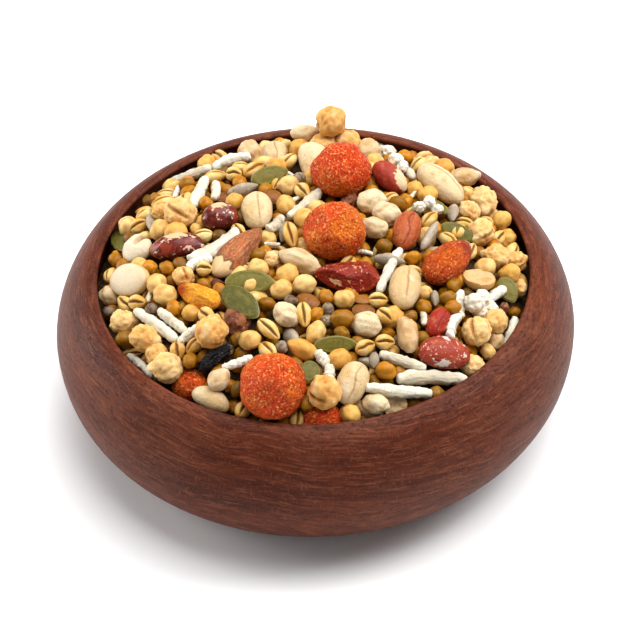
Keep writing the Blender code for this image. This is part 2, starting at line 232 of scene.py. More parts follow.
def addRamp(tree, source, stops):
    made = tree.nodes.new("ShaderNodeValToRGB")
    ramp = made.color_ramp
    while len(ramp.elements) < len(stops):
        ramp.elements.new(0.5)
    for element, (place, colour) in zip(ramp.elements, stops):
        element.position = place
        element.color = (*colour, 1)
    tree.links.new(source, made.inputs["Fac"])
    return made.outputs["Color"]


def feed(tree, socket, value):
    # link a socket, or give it a plain value
    if isinstance(value, bpy.types.NodeSocket):
        tree.links.new(value, socket)
    else:
        socket.default_value = (*value, 1) if isinstance(value, tuple) else value


def addMix(tree, share, first, second):
    made = tree.nodes.new("ShaderNodeMix")
    made.data_type = "RGBA"
    for number, value in ((0, share), (6, first), (7, second)):
        feed(tree, made.inputs[number], value)
    return made.outputs[2]


def addMath(tree, operation, *values):
    made = tree.nodes.new("ShaderNodeMath")
    made.operation = operation
    for number, value in enumerate(values):
        feed(tree, made.inputs[number], value)
    return made.outputs[0]


def times(tree, first, second):
    return addMath(tree, "MULTIPLY", first, second)


def plus(tree, first, second):
    return addMath(tree, "ADD", first, second)


def minus(tree, first, second):
    return addMath(tree, "SUBTRACT", first, second)


def addStep(tree, source, low, high):
    # 0 below low, 1 above high, smooth between
    made = tree.nodes.new("ShaderNodeMapRange")
    made.interpolation_type = "SMOOTHSTEP"
    made.inputs["From Min"].default_value = low
    made.inputs["From Max"].default_value = high
    tree.links.new(source, made.inputs["Value"])
    return made.outputs["Result"]


def addBump(tree, shader, height, depth):
    made = tree.nodes.new("ShaderNodeBump")
    made.inputs["Strength"].default_value = 1.0
    made.inputs["Distance"].default_value = depth * mm
    tree.links.new(height, made.inputs["Height"])
    tree.links.new(made.outputs["Normal"], shader.inputs["Normal"])


def pieceValue(tree, name):
    made = tree.nodes.new("ShaderNodeAttribute")
    made.attribute_name = name
    return made.outputs["Fac"]


def pieceSpot(tree):
    # the place on the piece itself: x along it, y to its side, z up, each from -1 to 1
    made = tree.nodes.new("ShaderNodeAttribute")
    made.attribute_name = "pieceSpot"
    parts = tree.nodes.new("ShaderNodeSeparateXYZ")
    tree.links.new(made.outputs["Vector"], parts.inputs["Vector"])
    return made.outputs["Vector"], parts.outputs["X"], parts.outputs["Y"], parts.outputs["Z"]


def addPatch(tree, share, amount, colour, paint):
    # paint over a colour where the share says
    return addMix(tree, times(tree, share, amount), colour, paint)


# what a food's look has where it doesn't say otherwise
usualLook = {
    "share": 0.72,  # how much light the food gives back, over its colours
    "glow": 0.0, "coat": 0.0, "bump": 0.25, "bumpScale": 900,
    "seamWidth": 0.16, "seamShare": 0.8, "endFrom": 0.85, "endFull": 1.0,
}
# how the marks on a piece lie: each begins at the first of two values and is full at the second
marks = {
    "drawnOut": (0.55, 3.0, 3.0),  # stretch of a layer that runs along the piece
    "seamCore": 0.02, "seamUp": (0.1, 0.5),
    "endWave": (2.4, 0.5), "endShift": (0.22, 0.27), "endShare": 0.8,
    "rim": (0.34, 0.18), "rimShare": 0.8,
    "tear": (3.6, 0.9), "tearShift": (0.5, 0.42), "patchShare": 0.95,
}


def foodMaterial(name, ownLook):
    # skin colour by piece, then layers of blotches and specks, painted shade in dips and painted highlight
    # on crests, seam, end, rim and patch, and bump
    look = {**usualLook, **ownLook}
    made, tree, shader = startMaterial(name, look["roughness"], look["glow"], look["coat"])
    spot, along, side, up = pieceSpot(tree)

    def deepened(paint):
        return tuple(look["share"] * part ** finishes["depth"] for part in paint)

    def painted(colour, where, amount, paint):
        return addPatch(tree, where, amount, colour, deepened(paint))

    tone = pieceValue(tree, "pieceTone")
    colour = addRamp(tree, tone, [(place, deepened(paint)) for place, paint in look["tones"]])
    for scale, low, high, amount, paint in look["layers"]:
        # a negative scale is drawn out along the piece, in its own space
        space = (spot, marks["drawnOut"]) if scale < 0 else ()
        lumps = addNoise(tree, abs(scale), 4, 0.6, *space)
        colour = painted(colour, addStep(tree, lumps, low, high), amount, paint)
    # painted shade where a piece dips in and painted highlight where it stands out, by how far each point
    # swells
    swell = pieceValue(tree, "pieceSwell")
    for mark, sign in (("dipShade", -1), ("crestHighlight", 1)):
        if mark in look:
            reach, amount, paint = look[mark]
            colour = painted(colour, addStep(tree, swell, 0.0, sign * reach), amount, paint)
    if "seam" in look:
        near = addStep(tree, addMath(tree, "ABSOLUTE", side), look["seamWidth"], marks["seamCore"])
        seam = times(tree, near, addStep(tree, up, *marks["seamUp"]))
        colour = painted(colour, seam, look["seamShare"], look["seam"])
    if "end" in look:
        # its edge is uneven
        scale, reach = marks["endWave"]
        uneven = plus(tree, along, times(tree, addNoise(tree, scale, 3, 0.5, spot), reach))
        begin, full = marks["endShift"]
        tip = addStep(tree, uneven, look["endFrom"] + begin, look["endFull"] + full)
        colour = painted(colour, tip, marks["endShare"], look["end"])
    if "rim" in look:
        flat = addStep(tree, addMath(tree, "ABSOLUTE", up), *marks["rim"])
        colour = painted(colour, flat, marks["rimShare"], look["rim"])
    if "patch" in look:
        # one large patch, with a torn edge
        centre, radius, paint = look["patch"]
        away = tree.nodes.new("ShaderNodeVectorMath")
        away.operation = "DISTANCE"
        tree.links.new(spot, away.inputs[0])
        away.inputs[1].default_value = centre
        scale, reach = marks["tear"]
        torn = plus(tree, away.outputs["Value"], times(tree, addNoise(tree, scale, 5, 0.62, spot), reach))
        begin, full = marks["tearShift"]
        near = addStep(tree, torn, radius + begin, radius + full)
        colour = painted(colour, near, marks["patchShare"], paint)
    tree.links.new(colour, shader.inputs["Base Color"])
    addBump(tree, shader, addNoise(tree, look["bumpScale"], 5, 0.65), look["bump"])
    return made


# the bowl
bowlShape = {
    "radius": 80.0,
    "height": 52.0,
    "belly": 31.0,
    "foot": 42.0,
    "mouth": 65.9,
    "lip": 0.8,
    "cavity": 69.0,
    "cavityBelly": 30.0,
    "floor": 38.0,
    "floorHeight": 9.0,
    "upperPower": 1.67,
    "lowerPower": 2.2,
    "arcSteps": 24,
    "lipSteps": 6,
    "turns": 144,
    "sharpFrom": 50,  # degrees
}


def arc(middleRadius, middleHeight, reachOut, reachUp, power, steps):
    points = []
    for step in range(steps + 1):
        turn = math.radians(90) * step / steps
        out = max(math.cos(turn), 0.0) ** (2 / power)
        up = math.sin(turn) ** (2 / power)
        points.append((middleRadius + reachOut * out, middleHeight + reachUp * up))
    return points


def turnedSolid(name, profile, turns):
    # profile starts and ends on the axis
    rings = profile[1:-1]
    points = [(0.0, 0.0, profile[0][1]), (0.0, 0.0, profile[-1][1])]
    for radius, height in rings:
        for step in range(turns):
            turn = 2 * math.pi * step / turns
            points.append((radius * math.cos(turn), radius * math.sin(turn), height))
    faces = []
    for step in range(turns):
        after = (step + 1) % turns
        faces.append((0, 2 + step, 2 + after))
        last = 2 + (len(rings) - 1) * turns
        faces.append((1, last + after, last + step))
        for ring in range(len(rings) - 1):
            low, high = 2 + ring * turns, 2 + (ring + 1) * turns
            faces.append((low + step, high + step, high + after))
            faces.append((low + step, high + after, low + after))
    plain = np.zeros(len(points))
    return meshObject(name, points, np.array(faces), np.array(points), plain, plain)


def wallProfile(inset=0.0):
    s = bowlShape
    upper = arc(s["mouth"] - inset, s["cavityBelly"], s["cavity"] - s["mouth"],
                s["height"] - s["lip"] - s["cavityBelly"], 2, s["arcSteps"])
    lower = arc(s["floor"], s["cavityBelly"], s["cavity"] - inset - s["floor"],
                s["floorHeight"] + inset - s["cavityBelly"], s["lowerPower"], s["arcSteps"])
    return upper[::-1] + lower[1:]


def makeBowl():
    s = bowlShape
    lipRadius = s["mouth"] + s["lip"]
    lip = arc(lipRadius, s["height"] - s["lip"], -s["lip"], s["lip"], 2, s["lipSteps"])
    upper = arc(lipRadius, s["belly"], s["radius"] - lipRadius, s["height"] - s["belly"],
                s["upperPower"], s["arcSteps"])
    lower = arc(s["foot"], s["belly"], s["radius"] - s["foot"], -s["belly"], s["lowerPower"], s["arcSteps"])
    profile = [(0.0, s["floorHeight"])] + wallProfile()[::-1] + lip[1:] + upper[::-1][1:]
    profile += lower[1:] + [(0.0, 0.0)]
    made = turnedSolid("turnedBowl", profile, s["turns"])
    made.data.set_sharp_from_angle(angle=math.radians(s["sharpFrom"]))
    return made


woodLook = {
    "light": (0.132, 0.03, 0.011),
    "middle": (0.095, 0.0195, 0.0075),
    "dark": (0.051, 0.01, 0.0045),
    "streak": (0.21, 0.062, 0.028),
    "pore": (0.013, 0.004, 0.002),
    "dull": (0.094, 0.035, 0.021),  # drier wood, in clouds
    "roughness": 0.5,
    "specular": 0.09,
    "bands": 120,  # per metre
    "bandStops": (0.34, 0.5, 0.66),  # where they are dark, middle and light
    "relief": 0.12,
    "round": 0.01,  # the smaller, the longer the lines run round the bowl
    "fall": 0.8,  # how much the lines' level falls towards the outside
    "slant": (0.1, 0.05),  # how the plank's lines drift off level, along X and Y
    "sway": (22, 0.012),  # slow waves in them: per metre, and how far
    "axis": 0.001,
}
# Over the bands, in turn: lumps per metre, detail and roughness, where they begin and are full, how much,
# colour, whether they follow the grain, and their stretch.
woodLayers = [
    (26, 3, 0.5, 0.42, 0.66, 0.45, "dull", False, None),
    (380, 4, 0.62, 0.48, 0.62, 0.6, "dark", True, None),
    (640, 4, 0.62, 0.53, 0.68, 0.5, "streak", True, None),
    (1250, 4, 0.62, 0.5, 0.62, 0.62, "dark", True, None),
    (1100, 4, 0.62, 0.54, 0.66, 0.48, "streak", True, None),
    (1500, 3, 0.6, 0.56, 0.66, 0.42, "pore", True, (3.0, 3.0, 1.0)),
    (1500, 3, 0.6, 0.56, 0.66, 0.34, "streak", False, (1.0, 1.0, 0.35)),
]


def grainPlace(tree):
    # lines that run round the turned bowl, drifting a little as a plank's growth lines do
    place = tree.nodes.new("ShaderNodeTexCoord").outputs["Object"]
    parts = tree.nodes.new("ShaderNodeSeparateXYZ")
    tree.links.new(place, parts.inputs["Vector"])
    x, y, z = parts.outputs
    radius = addMath(tree, "SQRT", plus(tree, times(tree, x, x), times(tree, y, y)))
    level = minus(tree, z, times(tree, radius, woodLook["fall"]))
    for part, share in zip((x, y), woodLook["slant"]):
        level = plus(tree, level, times(tree, part, share))
    scale, reach = woodLook["sway"]
    level = plus(tree, level, times(tree, minus(tree, addNoise(tree, scale, 2, 0.5), 0.5), reach))
    joined = tree.nodes.new("ShaderNodeCombineXYZ")
    away = addMath(tree, "MAXIMUM", radius, woodLook["axis"])
    for number, part in enumerate((x, y)):
        around = times(tree, addMath(tree, "DIVIDE", part, away), woodLook["round"])
        tree.links.new(around, joined.inputs[number])
    tree.links.new(level, joined.inputs[2])
    return joined.outputs["Vector"]


def woodMaterial():
    made, tree, shader = startMaterial("darkRedWood", woodLook["roughness"])
    shader.inputs["Specular IOR Level"].default_value = woodLook["specular"]
    place = grainPlace(tree)
    bands = addNoise(tree, woodLook["bands"], 5, 0.6, place)
    paints = [woodLook[name] for name in ("dark", "middle", "light")]
    colour = addRamp(tree, bands, list(zip(woodLook["bandStops"], paints)))
    for scale, detail, rough, low, high, amount, paint, follows, stretch in woodLayers:
        lumps = addNoise(tree, scale, detail, rough, place if follows else None, stretch)
        share = addStep(tree, lumps, low, high)
        colour = addPatch(tree, share, amount, colour, woodLook[paint])
        if paint == "pore":
            pores = share
    tree.links.new(colour, shader.inputs["Base Color"])
    addBump(tree, shader, minus(tree, bands, pores), woodLook["relief"])
    return made


bowl = makeBowl()
bowl.data.materials.append(woodMaterial())
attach(bowl, "root")
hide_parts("bowl")
print("bowl turned")

# the large pieces: flats are planes that cut the form, as (along, side, up, distance from the middle)
largeForms = {
    "ball": {"narrow": 0.0, "waist": 0.0, "bow": 0.0, "rough": 0.05, "count": 40},
    "almond": {"narrow": 0.22, "waist": 0.0, "bow": 0.0, "rough": 0.03, "count": 32},
    "bean": {"narrow": 0.0, "waist": 0.05, "bow": 0.15, "rough": 0.02, "count": 22},
    "peanut": {"narrow": 0.08, "waist": 0.06, "bow": 0.0, "rough": 0.05, "count": 24},
    "claw": {"narrow": 0.45, "waist": 0.0, "bow": 0.25, "rough": 0.02, "count": 22},
    "raisin": {"narrow": 0.0, "waist": 0.1, "bow": 0.1, "rough": 0.2, "count": 32},
    "corn": {"narrow": 0.08, "waist": 0.06, "bow": 0.0, "rough": 0.05, "count": 32},
}
flats = {
    "coated_ball_back": [(-0.7, 0.5, 0.5, 0.9), (0.8, 0.3, 0.5, 0.92), (0.1, -0.5, 0.85, 0.93)],
    "coated_ball_middle": [(-0.75, -0.2, 0.6, 0.86), (0.4, -0.6, 0.7, 0.9), (0.5, 0.85, 0.2, 0.88),
                           (-0.5, 0.8, 0.3, 0.88), (0.9, 0.1, 0.3, 0.92)],
    "coated_ball_front": [(-0.95, 0.0, 0.2, 0.93), (0.95, 0.1, 0.2, 0.94), (0.0, -0.55, 0.85, 0.86),
                          (0.0, 0.95, 0.3, 0.93), (0.0, -0.75, -0.6, 0.9)],
    "almond_dark": [(0.55, 0.8, 0.35, 0.62), (-0.5, 0.75, 0.45, 0.8), (0.1, -0.75, 0.65, 0.72),
                    (0.0, 0.2, 1.0, 0.84), (-0.85, -0.3, 0.4, 0.84)],
    "almond_cracked": [(0.0, 0.15, 1.0, 0.8), (-0.75, 0.55, 0.5, 0.8), (0.3, -0.9, 0.3, 0.86)],
    "coated_almond_orange": [(-0.1, 0.75, 0.6, 0.84), (0.5, -0.6, 0.6, 0.86)],
    "coated_almond_yellow": [(0.5, 0.6, 0.6, 0.7), (-0.6, -0.3, 0.75, 0.74), (0.1, -0.9, 0.3, 0.78),
                             (-0.5, 0.8, 0.4, 0.8)],
    "peanut_red": [(0.2, 0.5, 0.8, 0.86)],
}
flatSoftness = 0.06
flatFacing = 0.2  # a flat cuts nothing that faces further away than this
lumpScale = 2.2
lumpShift = 3.7
toneStep = 0.37

# form, finish, both ends in the photograph, then length, width, thickness, sink and tip as in the frame
largePieces = {
    "coated_ball_back": ("ball", "coating", (311, 171), (371, 169), 19.5, 19.0, 17.0, 2.0, 0),
    "coated_ball_middle": ("ball", "coating", (303, 232), (366, 230), 19.8, 19.0, 18.0, 2.0, 0),
    "coated_ball_front": ("ball", "coating", (239, 387), (306, 385), 20.4, 20.4, 20.0, 3.5, 0),
    "coated_ball_rim": ("ball", "coating", (302, 420), (342, 420), 12.5, 11.0, 11.0, 6.0, 0),
    "coated_ball_left": ("ball", "coating", (176, 383), (203, 387), 11.5, 10.3, 9.0, 7.2, 0),
    "coated_almond_orange": ("almond", "orange", (424, 279), (473, 243), 20.5, 11.5, 9.5, 0.5, 8),
    "coated_almond_yellow": ("almond", "turmeric", (222, 305), (175, 286), 15.5, 7.8, 7.0, 0.5, 0),
    "almond_cracked": ("almond", "crackedSkin", (212, 273), (263, 231), 22.0, 9.5, 7.5, 0.5, 10),
    "almond_dark": ("almond", "darkSkin", (379, 277), (316, 274), 19.8, 11.5, 8.0, 0.5, 8),
    "bean_left": ("bean", "redBean", (151, 252), (204, 244), 16.8, 9.8, 7.5, 0.5, 10),
    "bean_back": ("bean", "redBean", (203, 220), (237, 216), 11.5, 10.0, 8.0, 0.8, 10),
    "bean_right": ("bean", "palerBean", (417, 352), (471, 358), 16.5, 10.5, 8.0, 0.5, 0),
    "peanut_red": ("peanut", "redSkin", (446, 309), (430, 337), 11.0, 7.2, 7.0, 1.4, 0),
    "peanut_skin_right": ("peanut", "redSkin", (413, 212), (400, 250), 14.5, 9.0, 8.0, 0.5, 10),
    "peanut_skin_back": ("peanut", "splitSkin", (373, 167), (407, 188), 13.5, 8.4, 8.0, 0.5, 20),
    "peanut_wrinkled": ("peanut", "cream", (418, 169), (464, 200), 18.0, 10.5, 9.0, 0.5, 15),
    "kernel_claw": ("claw", "cream", (314, 144), (306, 182), 14.5, 9.5, 7.0, 0.5, 30),
    "peanut_back": ("peanut", "cream", (270, 141), (280, 170), 11.0, 9.3, 7.5, 0.5, 25),
    "peanut_tall": ("peanut", "cream", (257, 192), (257, 230), 14.0, 10.3, 8.0, 0.5, 10),
    "peanut_right": ("peanut", "cream", (408, 264), (402, 312), 16.5, 10.3, 8.5, 0.5, 0),
    "peanut_front": ("peanut", "cream", (360, 362), (344, 405), 13.5, 9.8, 8.0, 0.6, 0),
    "bean_white": ("bean", "cream", (192, 391), (229, 410), 12.5, 7.0, 7.0, 0.4, 0),
    "kernel_corn": ("corn", "paleCream", (119, 250), (155, 250), 10.5, 11.5, 6.5, 0.5, 20),
    "raisin": ("raisin", "raisin", (196, 372), (234, 344), 14.0, 5.8, 5.0, 0.4, 0),
}


def ridged(place, scale, shift):
    return 1 - abs(noise.noise(place * scale + Vector((shift, shift, 0))))


def largeDetail(form, along, side, up, seed):
    # share of the girth that finer form takes away, so that a piece stays inside its solid
    place = Vector((side, up, along))
    if form == "ball":  # grit and dents
        return 0.034 + 0.022 * lump(place, 17, seed) + 0.022 * lump(place, 7, seed, 1)
    if form == "almond":
        tip = 0.22 * max(along, 0.0) ** 4
        furrow = noise.noise(Vector((side * 7.0, up * 7.0, along * 1.3 + seed)))
        return tip + 0.03 + 0.034 * furrow
    if form == "peanut":
        sway = 0.15 + 0.25 * noise.noise(Vector((along * 1.4, seed, 0)))
        cleft = 0.045 * soft(side, sway, 0.07) * max(up, 0.0)
        return 0.012 + cleft + 0.012 * lump(place, 6, seed)
    if form == "corn":
        notch = 0.6 * soft(along, 0.1, 0.2) * max(side, 0.0)
        shoulder = 0.16 * soft(along, -0.85, 0.25) * max(side, 0.0)
        return notch + shoulder + 0.16 * max(-side, 0.0) * abs(along) + 0.02
    if form == "raisin":
        return 0.06 + 0.2 * ridged(place, 3.2, seed) ** 3 + 0.05 * lump(place, 9)
    return 0.012 + 0.01 * lump(place, 7, seed)


def flattened(unit, name):
    # share of the radius that the flats take away at a point, their edges rounded
    kept = 1.0
    for *direction, distance in flats.get(name, []):
        facing = unit.dot(Vector(direction).normalized())
        if facing > flatFacing:
            limit = distance / facing
            blend = max(flatSoftness - abs(kept - limit), 0.0)
            kept = min(kept, limit) - blend * blend / (4 * flatSoftness)
    return 1 - kept


def laidOut(name):
    # both ends of a large piece on the heap
    _, _, end, otherEnd, _, _, thickness, sink, _ = largePieces[name]
    lift = liftOf(thickness, sink)
    return onHeap(*end, lift), onHeap(*otherEnd, lift)


def makeLarge(name, number):
    form, _, _, _, length, width, thickness, _, tip = largePieces[name]
    shape = largeForms[form]
    first, second = laidOut(name)
    middle = (first + second) / 2
    turn = Matrix.Rotation(math.radians(tip), 3, "X") @ turnFor(middle, second - first)
    balls, faces = unitBall(shape["count"])
    seed = number * lumpShift
    points, swells = [], []
    for unit in balls:
        along, side, up = unit
        crown = 1 - along * along
        girth = (1 - shape["narrow"] * along) * (1 - shape["waist"] * crown)
        girth *= 1 + shape["rough"] * lump(Vector((side, up, along)), lumpScale, seed)
        away = largeDetail(form, along, side, up, seed)
        flat = flattened(unit, name)
        girth *= (1 - away) * (1 - flat)
        ends = (1 - (away if form in ("ball", "corn", "raisin") else 0.0)) * (1 - flat)
        swells.append(-away)
        spot = Vector((
            along * length / 2 * ends,
            side * girth * width / 2 + shape["bow"] * crown * width / 2,
            up * girth * thickness / 2,
        ))
        points.append(middle + turn @ spot)
    tone = np.full(len(points), (number * toneStep) % 1.0)
    swells = np.array(swells) - np.median(swells)
    units = np.array([tuple(unit) for unit in balls])
    return meshObject(name + "_look", points, faces, units, tone, swells)


# Each look: its tones, then layers (lumps per metre, or per piece where negative; where it begins and is
# full; how much; colour), then the painted shade for its dips and the painted highlight for its crests.
# What a look doesn't give, such as its bump or the share of light that it gives back, is as in the usual
# look.
largeLooks = {
    "coating": {
        "roughness": 0.5, "bump": 1.3, "bumpScale": 1250,
        "share": 0.82,
        "tones": [(0.0, (0.83, 0.13, 0.02)), (1.0, (0.86, 0.165, 0.022))],
        "layers": [
            (75, 0.44, 0.6, 0.85, (0.95, 0.32, 0.022)), (300, 0.5, 0.68, 0.6, (0.56, 0.05, 0.012)),
            (1500, 0.53, 0.61, 0.75, (0.42, 0.035, 0.01)), (1350, 0.565, 0.625, 0.88, (1.0, 0.6, 0.26)),
        ],
        "dipShade": (0.03, 0.65, (0.34, 0.025, 0.012)), "crestHighlight": (0.035, 0.5, (0.96, 0.36, 0.1)),
    },
    "orange": {
        "roughness": 0.45, "bump": 1.3, "bumpScale": 1250,
        "tones": [(0.0, (0.72, 0.135, 0.008)), (1.0, (0.74, 0.155, 0.01))],
        "layers": [
            (80, 0.48, 0.62, 0.55, (0.88, 0.25, 0.01)), (260, 0.5, 0.64, 0.7, (0.6, 0.065, 0.012)),
            (1400, 0.52, 0.61, 0.8, (0.48, 0.045, 0.008)), (1300, 0.57, 0.63, 0.82, (1.0, 0.58, 0.18)),
        ],
        "dipShade": (0.03, 0.6, (0.45, 0.05, 0.01)), "crestHighlight": (0.035, 0.4, (0.94, 0.38, 0.06)),
        "end": (0.88, 0.66, 0.48), "endFrom": 0.86, "endFull": 0.9,
    },
    "turmeric": {
        "roughness": 0.55, "bump": 1.2, "bumpScale": 1200,
        "share": 0.96,
        "tones": [(0.0, (0.9, 0.44, 0.045)), (1.0, (0.92, 0.48, 0.055))],
        "layers": [
            (170, 0.5, 0.62, 0.55, (0.8, 0.28, 0.02)), (1300, 0.54, 0.62, 0.5, (0.58, 0.19, 0.02)),
            (1100, 0.59, 0.64, 0.6, (0.97, 0.74, 0.33)),
        ],
        "dipShade": (0.03, 0.5, (0.5, 0.14, 0.02)), "crestHighlight": (0.03, 0.5, (0.96, 0.66, 0.16)),
        "end": (0.6, 0.1, 0.02), "endFrom": 0.62, "endFull": 0.9,
    },
    "cream": {
        "roughness": 0.36, "bump": 0.35, "glow": 0.06,
        "tones": [(0.0, (0.82, 0.62, 0.37)), (0.5, (0.87, 0.71, 0.47)), (1.0, (0.89, 0.76, 0.54))],
        "layers": [
            (95, 0.5, 0.66, 0.55, (0.82, 0.56, 0.25)), (420, 0.54, 0.68, 0.45, (0.66, 0.42, 0.19)),
            (1700, 0.64, 0.69, 0.65, (0.42, 0.2, 0.08)), (150, 0.56, 0.7, 0.5, (0.95, 0.88, 0.74)),
        ],
        "dipShade": (0.045, 0.7, (0.5, 0.27, 0.09)),
    },
    "paleCream": {
        "roughness": 0.4, "bump": 0.3, "glow": 0.1,
        "tones": [(0.0, (0.88, 0.79, 0.62)), (1.0, (0.88, 0.79, 0.62))],
        "layers": [
            (120, 0.5, 0.66, 0.5, (0.86, 0.68, 0.4)), (500, 0.56, 0.7, 0.35, (0.74, 0.55, 0.3)),
        ],
        "dipShade": (0.1, 0.6, (0.62, 0.38, 0.15)),
    },
    "redSkin": {
        "roughness": 0.5, "bump": 0.35, "bumpScale": 700,
        "tones": [(0.44, (0.54, 0.078, 0.04)), (0.81, (0.62, 0.21, 0.078))],
        "layers": [
            (-1.9, 0.5, 0.62, 0.55, (0.4, 0.06, 0.045)), (420, 0.54, 0.66, 0.5, (0.76, 0.35, 0.16)),
            (1500, 0.62, 0.67, 0.6, (0.88, 0.6, 0.42)),
        ],
        "dipShade": (0.03, 0.6, (0.28, 0.04, 0.03)),
    },
    "splitSkin": {
        "roughness": 0.5, "bump": 0.35, "bumpScale": 700,
        "tones": [(0.0, (0.52, 0.1, 0.06)), (1.0, (0.58, 0.16, 0.1))],
        "layers": [(420, 0.54, 0.66, 0.5, (0.7, 0.26, 0.18)), (1500, 0.62, 0.67, 0.5, (0.3, 0.04, 0.03))],
        "patch": ((0.75, 0.35, 0.55), 0.75, (0.88, 0.72, 0.5)),
    },
    "darkSkin": {
        "roughness": 0.36, "bump": 0.5, "bumpScale": 800,
        "tones": [(0.0, (0.37, 0.044, 0.02)), (1.0, (0.42, 0.056, 0.026))],
        "layers": [
            (130, 0.5, 0.64, 0.65, (0.54, 0.12, 0.055)),
            (-2.2, 0.5, 0.62, 0.7, (0.19, 0.018, 0.018)),
            (850, 0.6, 0.645, 0.9, (0.94, 0.55, 0.3)),
        ],
        "patch": ((0.48, 0.82, 0.05), 0.3, (0.86, 0.58, 0.36)),
    },
    "redBean": {
        "roughness": 0.3, "bump": 0.12, "coat": 0.2,
        "tones": [(0.0, (0.25, 0.05, 0.04)), (1.0, (0.31, 0.072, 0.045))],
        "layers": [
            (200, 0.5, 0.6, 0.75, (0.48, 0.12, 0.06)), (420, 0.55, 0.6, 0.65, (0.11, 0.018, 0.016)),
            (620, 0.6, 0.63, 0.9, (0.92, 0.7, 0.56)),
        ],
        "patch": ((0.0, 0.45, 0.9), 0.42, (0.88, 0.66, 0.44)),
    },
    "palerBean": {
        "roughness": 0.34, "bump": 0.3,
        "tones": [(0.0, (0.52, 0.12, 0.07)), (1.0, (0.52, 0.12, 0.07))],
        "layers": [
            (260, 0.5, 0.62, 0.7, (0.62, 0.2, 0.1)), (-2.0, 0.54, 0.62, 0.8, (0.3, 0.045, 0.035)),
            (1000, 0.6, 0.64, 0.8, (0.93, 0.74, 0.6)), (330, 0.625, 0.645, 0.9, (0.9, 0.8, 0.72)),
        ],
        "patch": ((-0.1, -0.8, 0.45), 0.26, (0.92, 0.84, 0.76)),
    },
    "raisin": {
        "roughness": 0.3, "bump": 0.7, "bumpScale": 700,
        "tones": [(0.0, (0.02, 0.016, 0.022)), (1.0, (0.035, 0.026, 0.032))],
        "layers": [
            (500, 0.58, 0.66, 0.5, (0.12, 0.09, 0.1)), (1500, 0.66, 0.69, 0.8, (0.72, 0.66, 0.6)),
        ],
        "dipShade": (0.05, 0.8, (0.006, 0.005, 0.008)),
        "end": (0.3, 0.36, 0.28), "endFrom": 0.92,
    },
}
# the skin that has split lengthwise, so that pale flesh shows in thin lines and at one end
crackedLook = {
    "skin": (0.52, 0.09, 0.018), "bright": (0.74, 0.23, 0.055), "deep": (0.15, 0.014, 0.008),
    "line": (0.92, 0.52, 0.26), "flesh": (0.68, 0.47, 0.24), "fleshRim": (0.38, 0.16, 0.055),
    "stops": (0.36, 0.5, 0.64),  # where it is deep, plain and bright
    "roughness": 0.42, "relief": 0.9,
    "ridges": (2.6, (0.9, 3.6, 3.6)),  # lumps per piece, and their stretch
    "cracks": [(3.0, 0.53), (4.6, 0.47)],  # lumps per piece, and the level that a crack follows
    "crackStretch": (0.9, 3.8, 3.8),
    "crackWidth": (0.03, 0.01),
    "lineShare": 0.95,
    "shadedSide": (0.25, 0.85), "shadedShare": 0.65,
    "flecks": (1300, 0.62, 0.66, 0.7),  # lumps per metre, where they begin and are full, how much
    "tear": (1.9, 0.7),  # how uneven the torn edge is
    "rim": (-0.1, -0.16), "rimShare": 0.8, "bare": (-0.2, -0.26),
}


def crackedMaterial():
    look = crackedLook
    made, tree, shader = startMaterial("crackedSkin", look["roughness"])
    spot, along, side, _ = pieceSpot(tree)
    scale, stretch = look["ridges"]
    shade = addNoise(tree, scale, 5, 0.65, spot, stretch)
    paints = [look[name] for name in ("deep", "skin", "bright")]
    colour = addRamp(tree, shade, list(zip(look["stops"], paints)))
    shaded = addStep(tree, side, *look["shadedSide"])
    colour = addPatch(tree, shaded, look["shadedShare"], colour, look["deep"])
    crack = 0.0
    for scale, level in look["cracks"]:
        lines = addNoise(tree, scale, 4, 0.6, spot, look["crackStretch"])
        off = addMath(tree, "ABSOLUTE", minus(tree, lines, level))
        crack = addMath(tree, "MAXIMUM", crack, addStep(tree, off, *look["crackWidth"]))
    colour = addPatch(tree, crack, look["lineShare"], colour, look["line"])
    scale, low, high, amount = look["flecks"]
    flecks = addStep(tree, addNoise(tree, scale, 3, 0.6), low, high)
    colour = addPatch(tree, flecks, amount, colour, look["flesh"])
    scale, reach = look["tear"]
    edge = plus(tree, along, times(tree, addNoise(tree, scale, 3, 0.5, spot), reach))
    rim = addStep(tree, edge, *look["rim"])
    colour = addPatch(tree, rim, look["rimShare"], colour, look["fleshRim"])
    bare = addStep(tree, edge, *look["bare"])
    colour = addMix(tree, bare, colour, look["flesh"])
    tree.links.new(colour, shader.inputs["Base Color"])
    relief = minus(tree, shade, times(tree, crack, 0.5))
    addBump(tree, shader, times(tree, relief, minus(tree, 1.0, bare)), look["relief"])
    return made


largeMaterials = {name: foodMaterial(name, look) for name, look in largeLooks.items()}
largeMaterials["crackedSkin"] = crackedMaterial()
for number, name in enumerate(largePieces):
    finish = largePieces[name][1]
    piece = makeLarge(name, number)
    piece.data.materials.append(largeMaterials[finish])
    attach(piece, "root")
    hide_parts(name)
print(len(largePieces), "large pieces laid")


# the small pieces: each form gives a point of the piece for a point of the unit ball
def lumpy(unit, seed, *rows):
    # how far a point swells: each row is how fine its lumps are and how high
    swell = 1.0
    for axis, (scale, height) in enumerate(rows):
        swell += height * lump(unit, scale, seed, axis)
    return swell


def chickpeaForm(unit, seed):
    # a beak at one end, a groove round from it, and shallow wrinkles
    x, y, z = unit
    swell = lumpy(unit, seed, (1.6, 0.14), (3.6, 0.1), (8.5, 0.035))
    swell += 0.3 * math.exp(-((x - 1) ** 2 + (y * y + z * z)) / 0.1)
    swell -= 0.2 * soft(y, 0.0, 0.13) * max(0.0, z + 0.25)
    return unit * swell * 0.97


def peaForm(unit, seed):
    return unit * lumpy(unit, seed, (1.5, 0.13), (4.0, 0.035))


def kernelForm(unit, seed):
    # uneven, with the shallow cleft between its two halves
    cleft = 0.07 * soft(unit.y, 0.1, 0.08) * max(0.0, unit.z)
    return unit * (lumpy(unit, seed, (1.5, 0.15), (4.0, 0.05)) - cleft)


def crumbForm(unit, seed):
    return unit * lumpy(unit, seed, (1.8, 0.34), (4.2, 0.16))


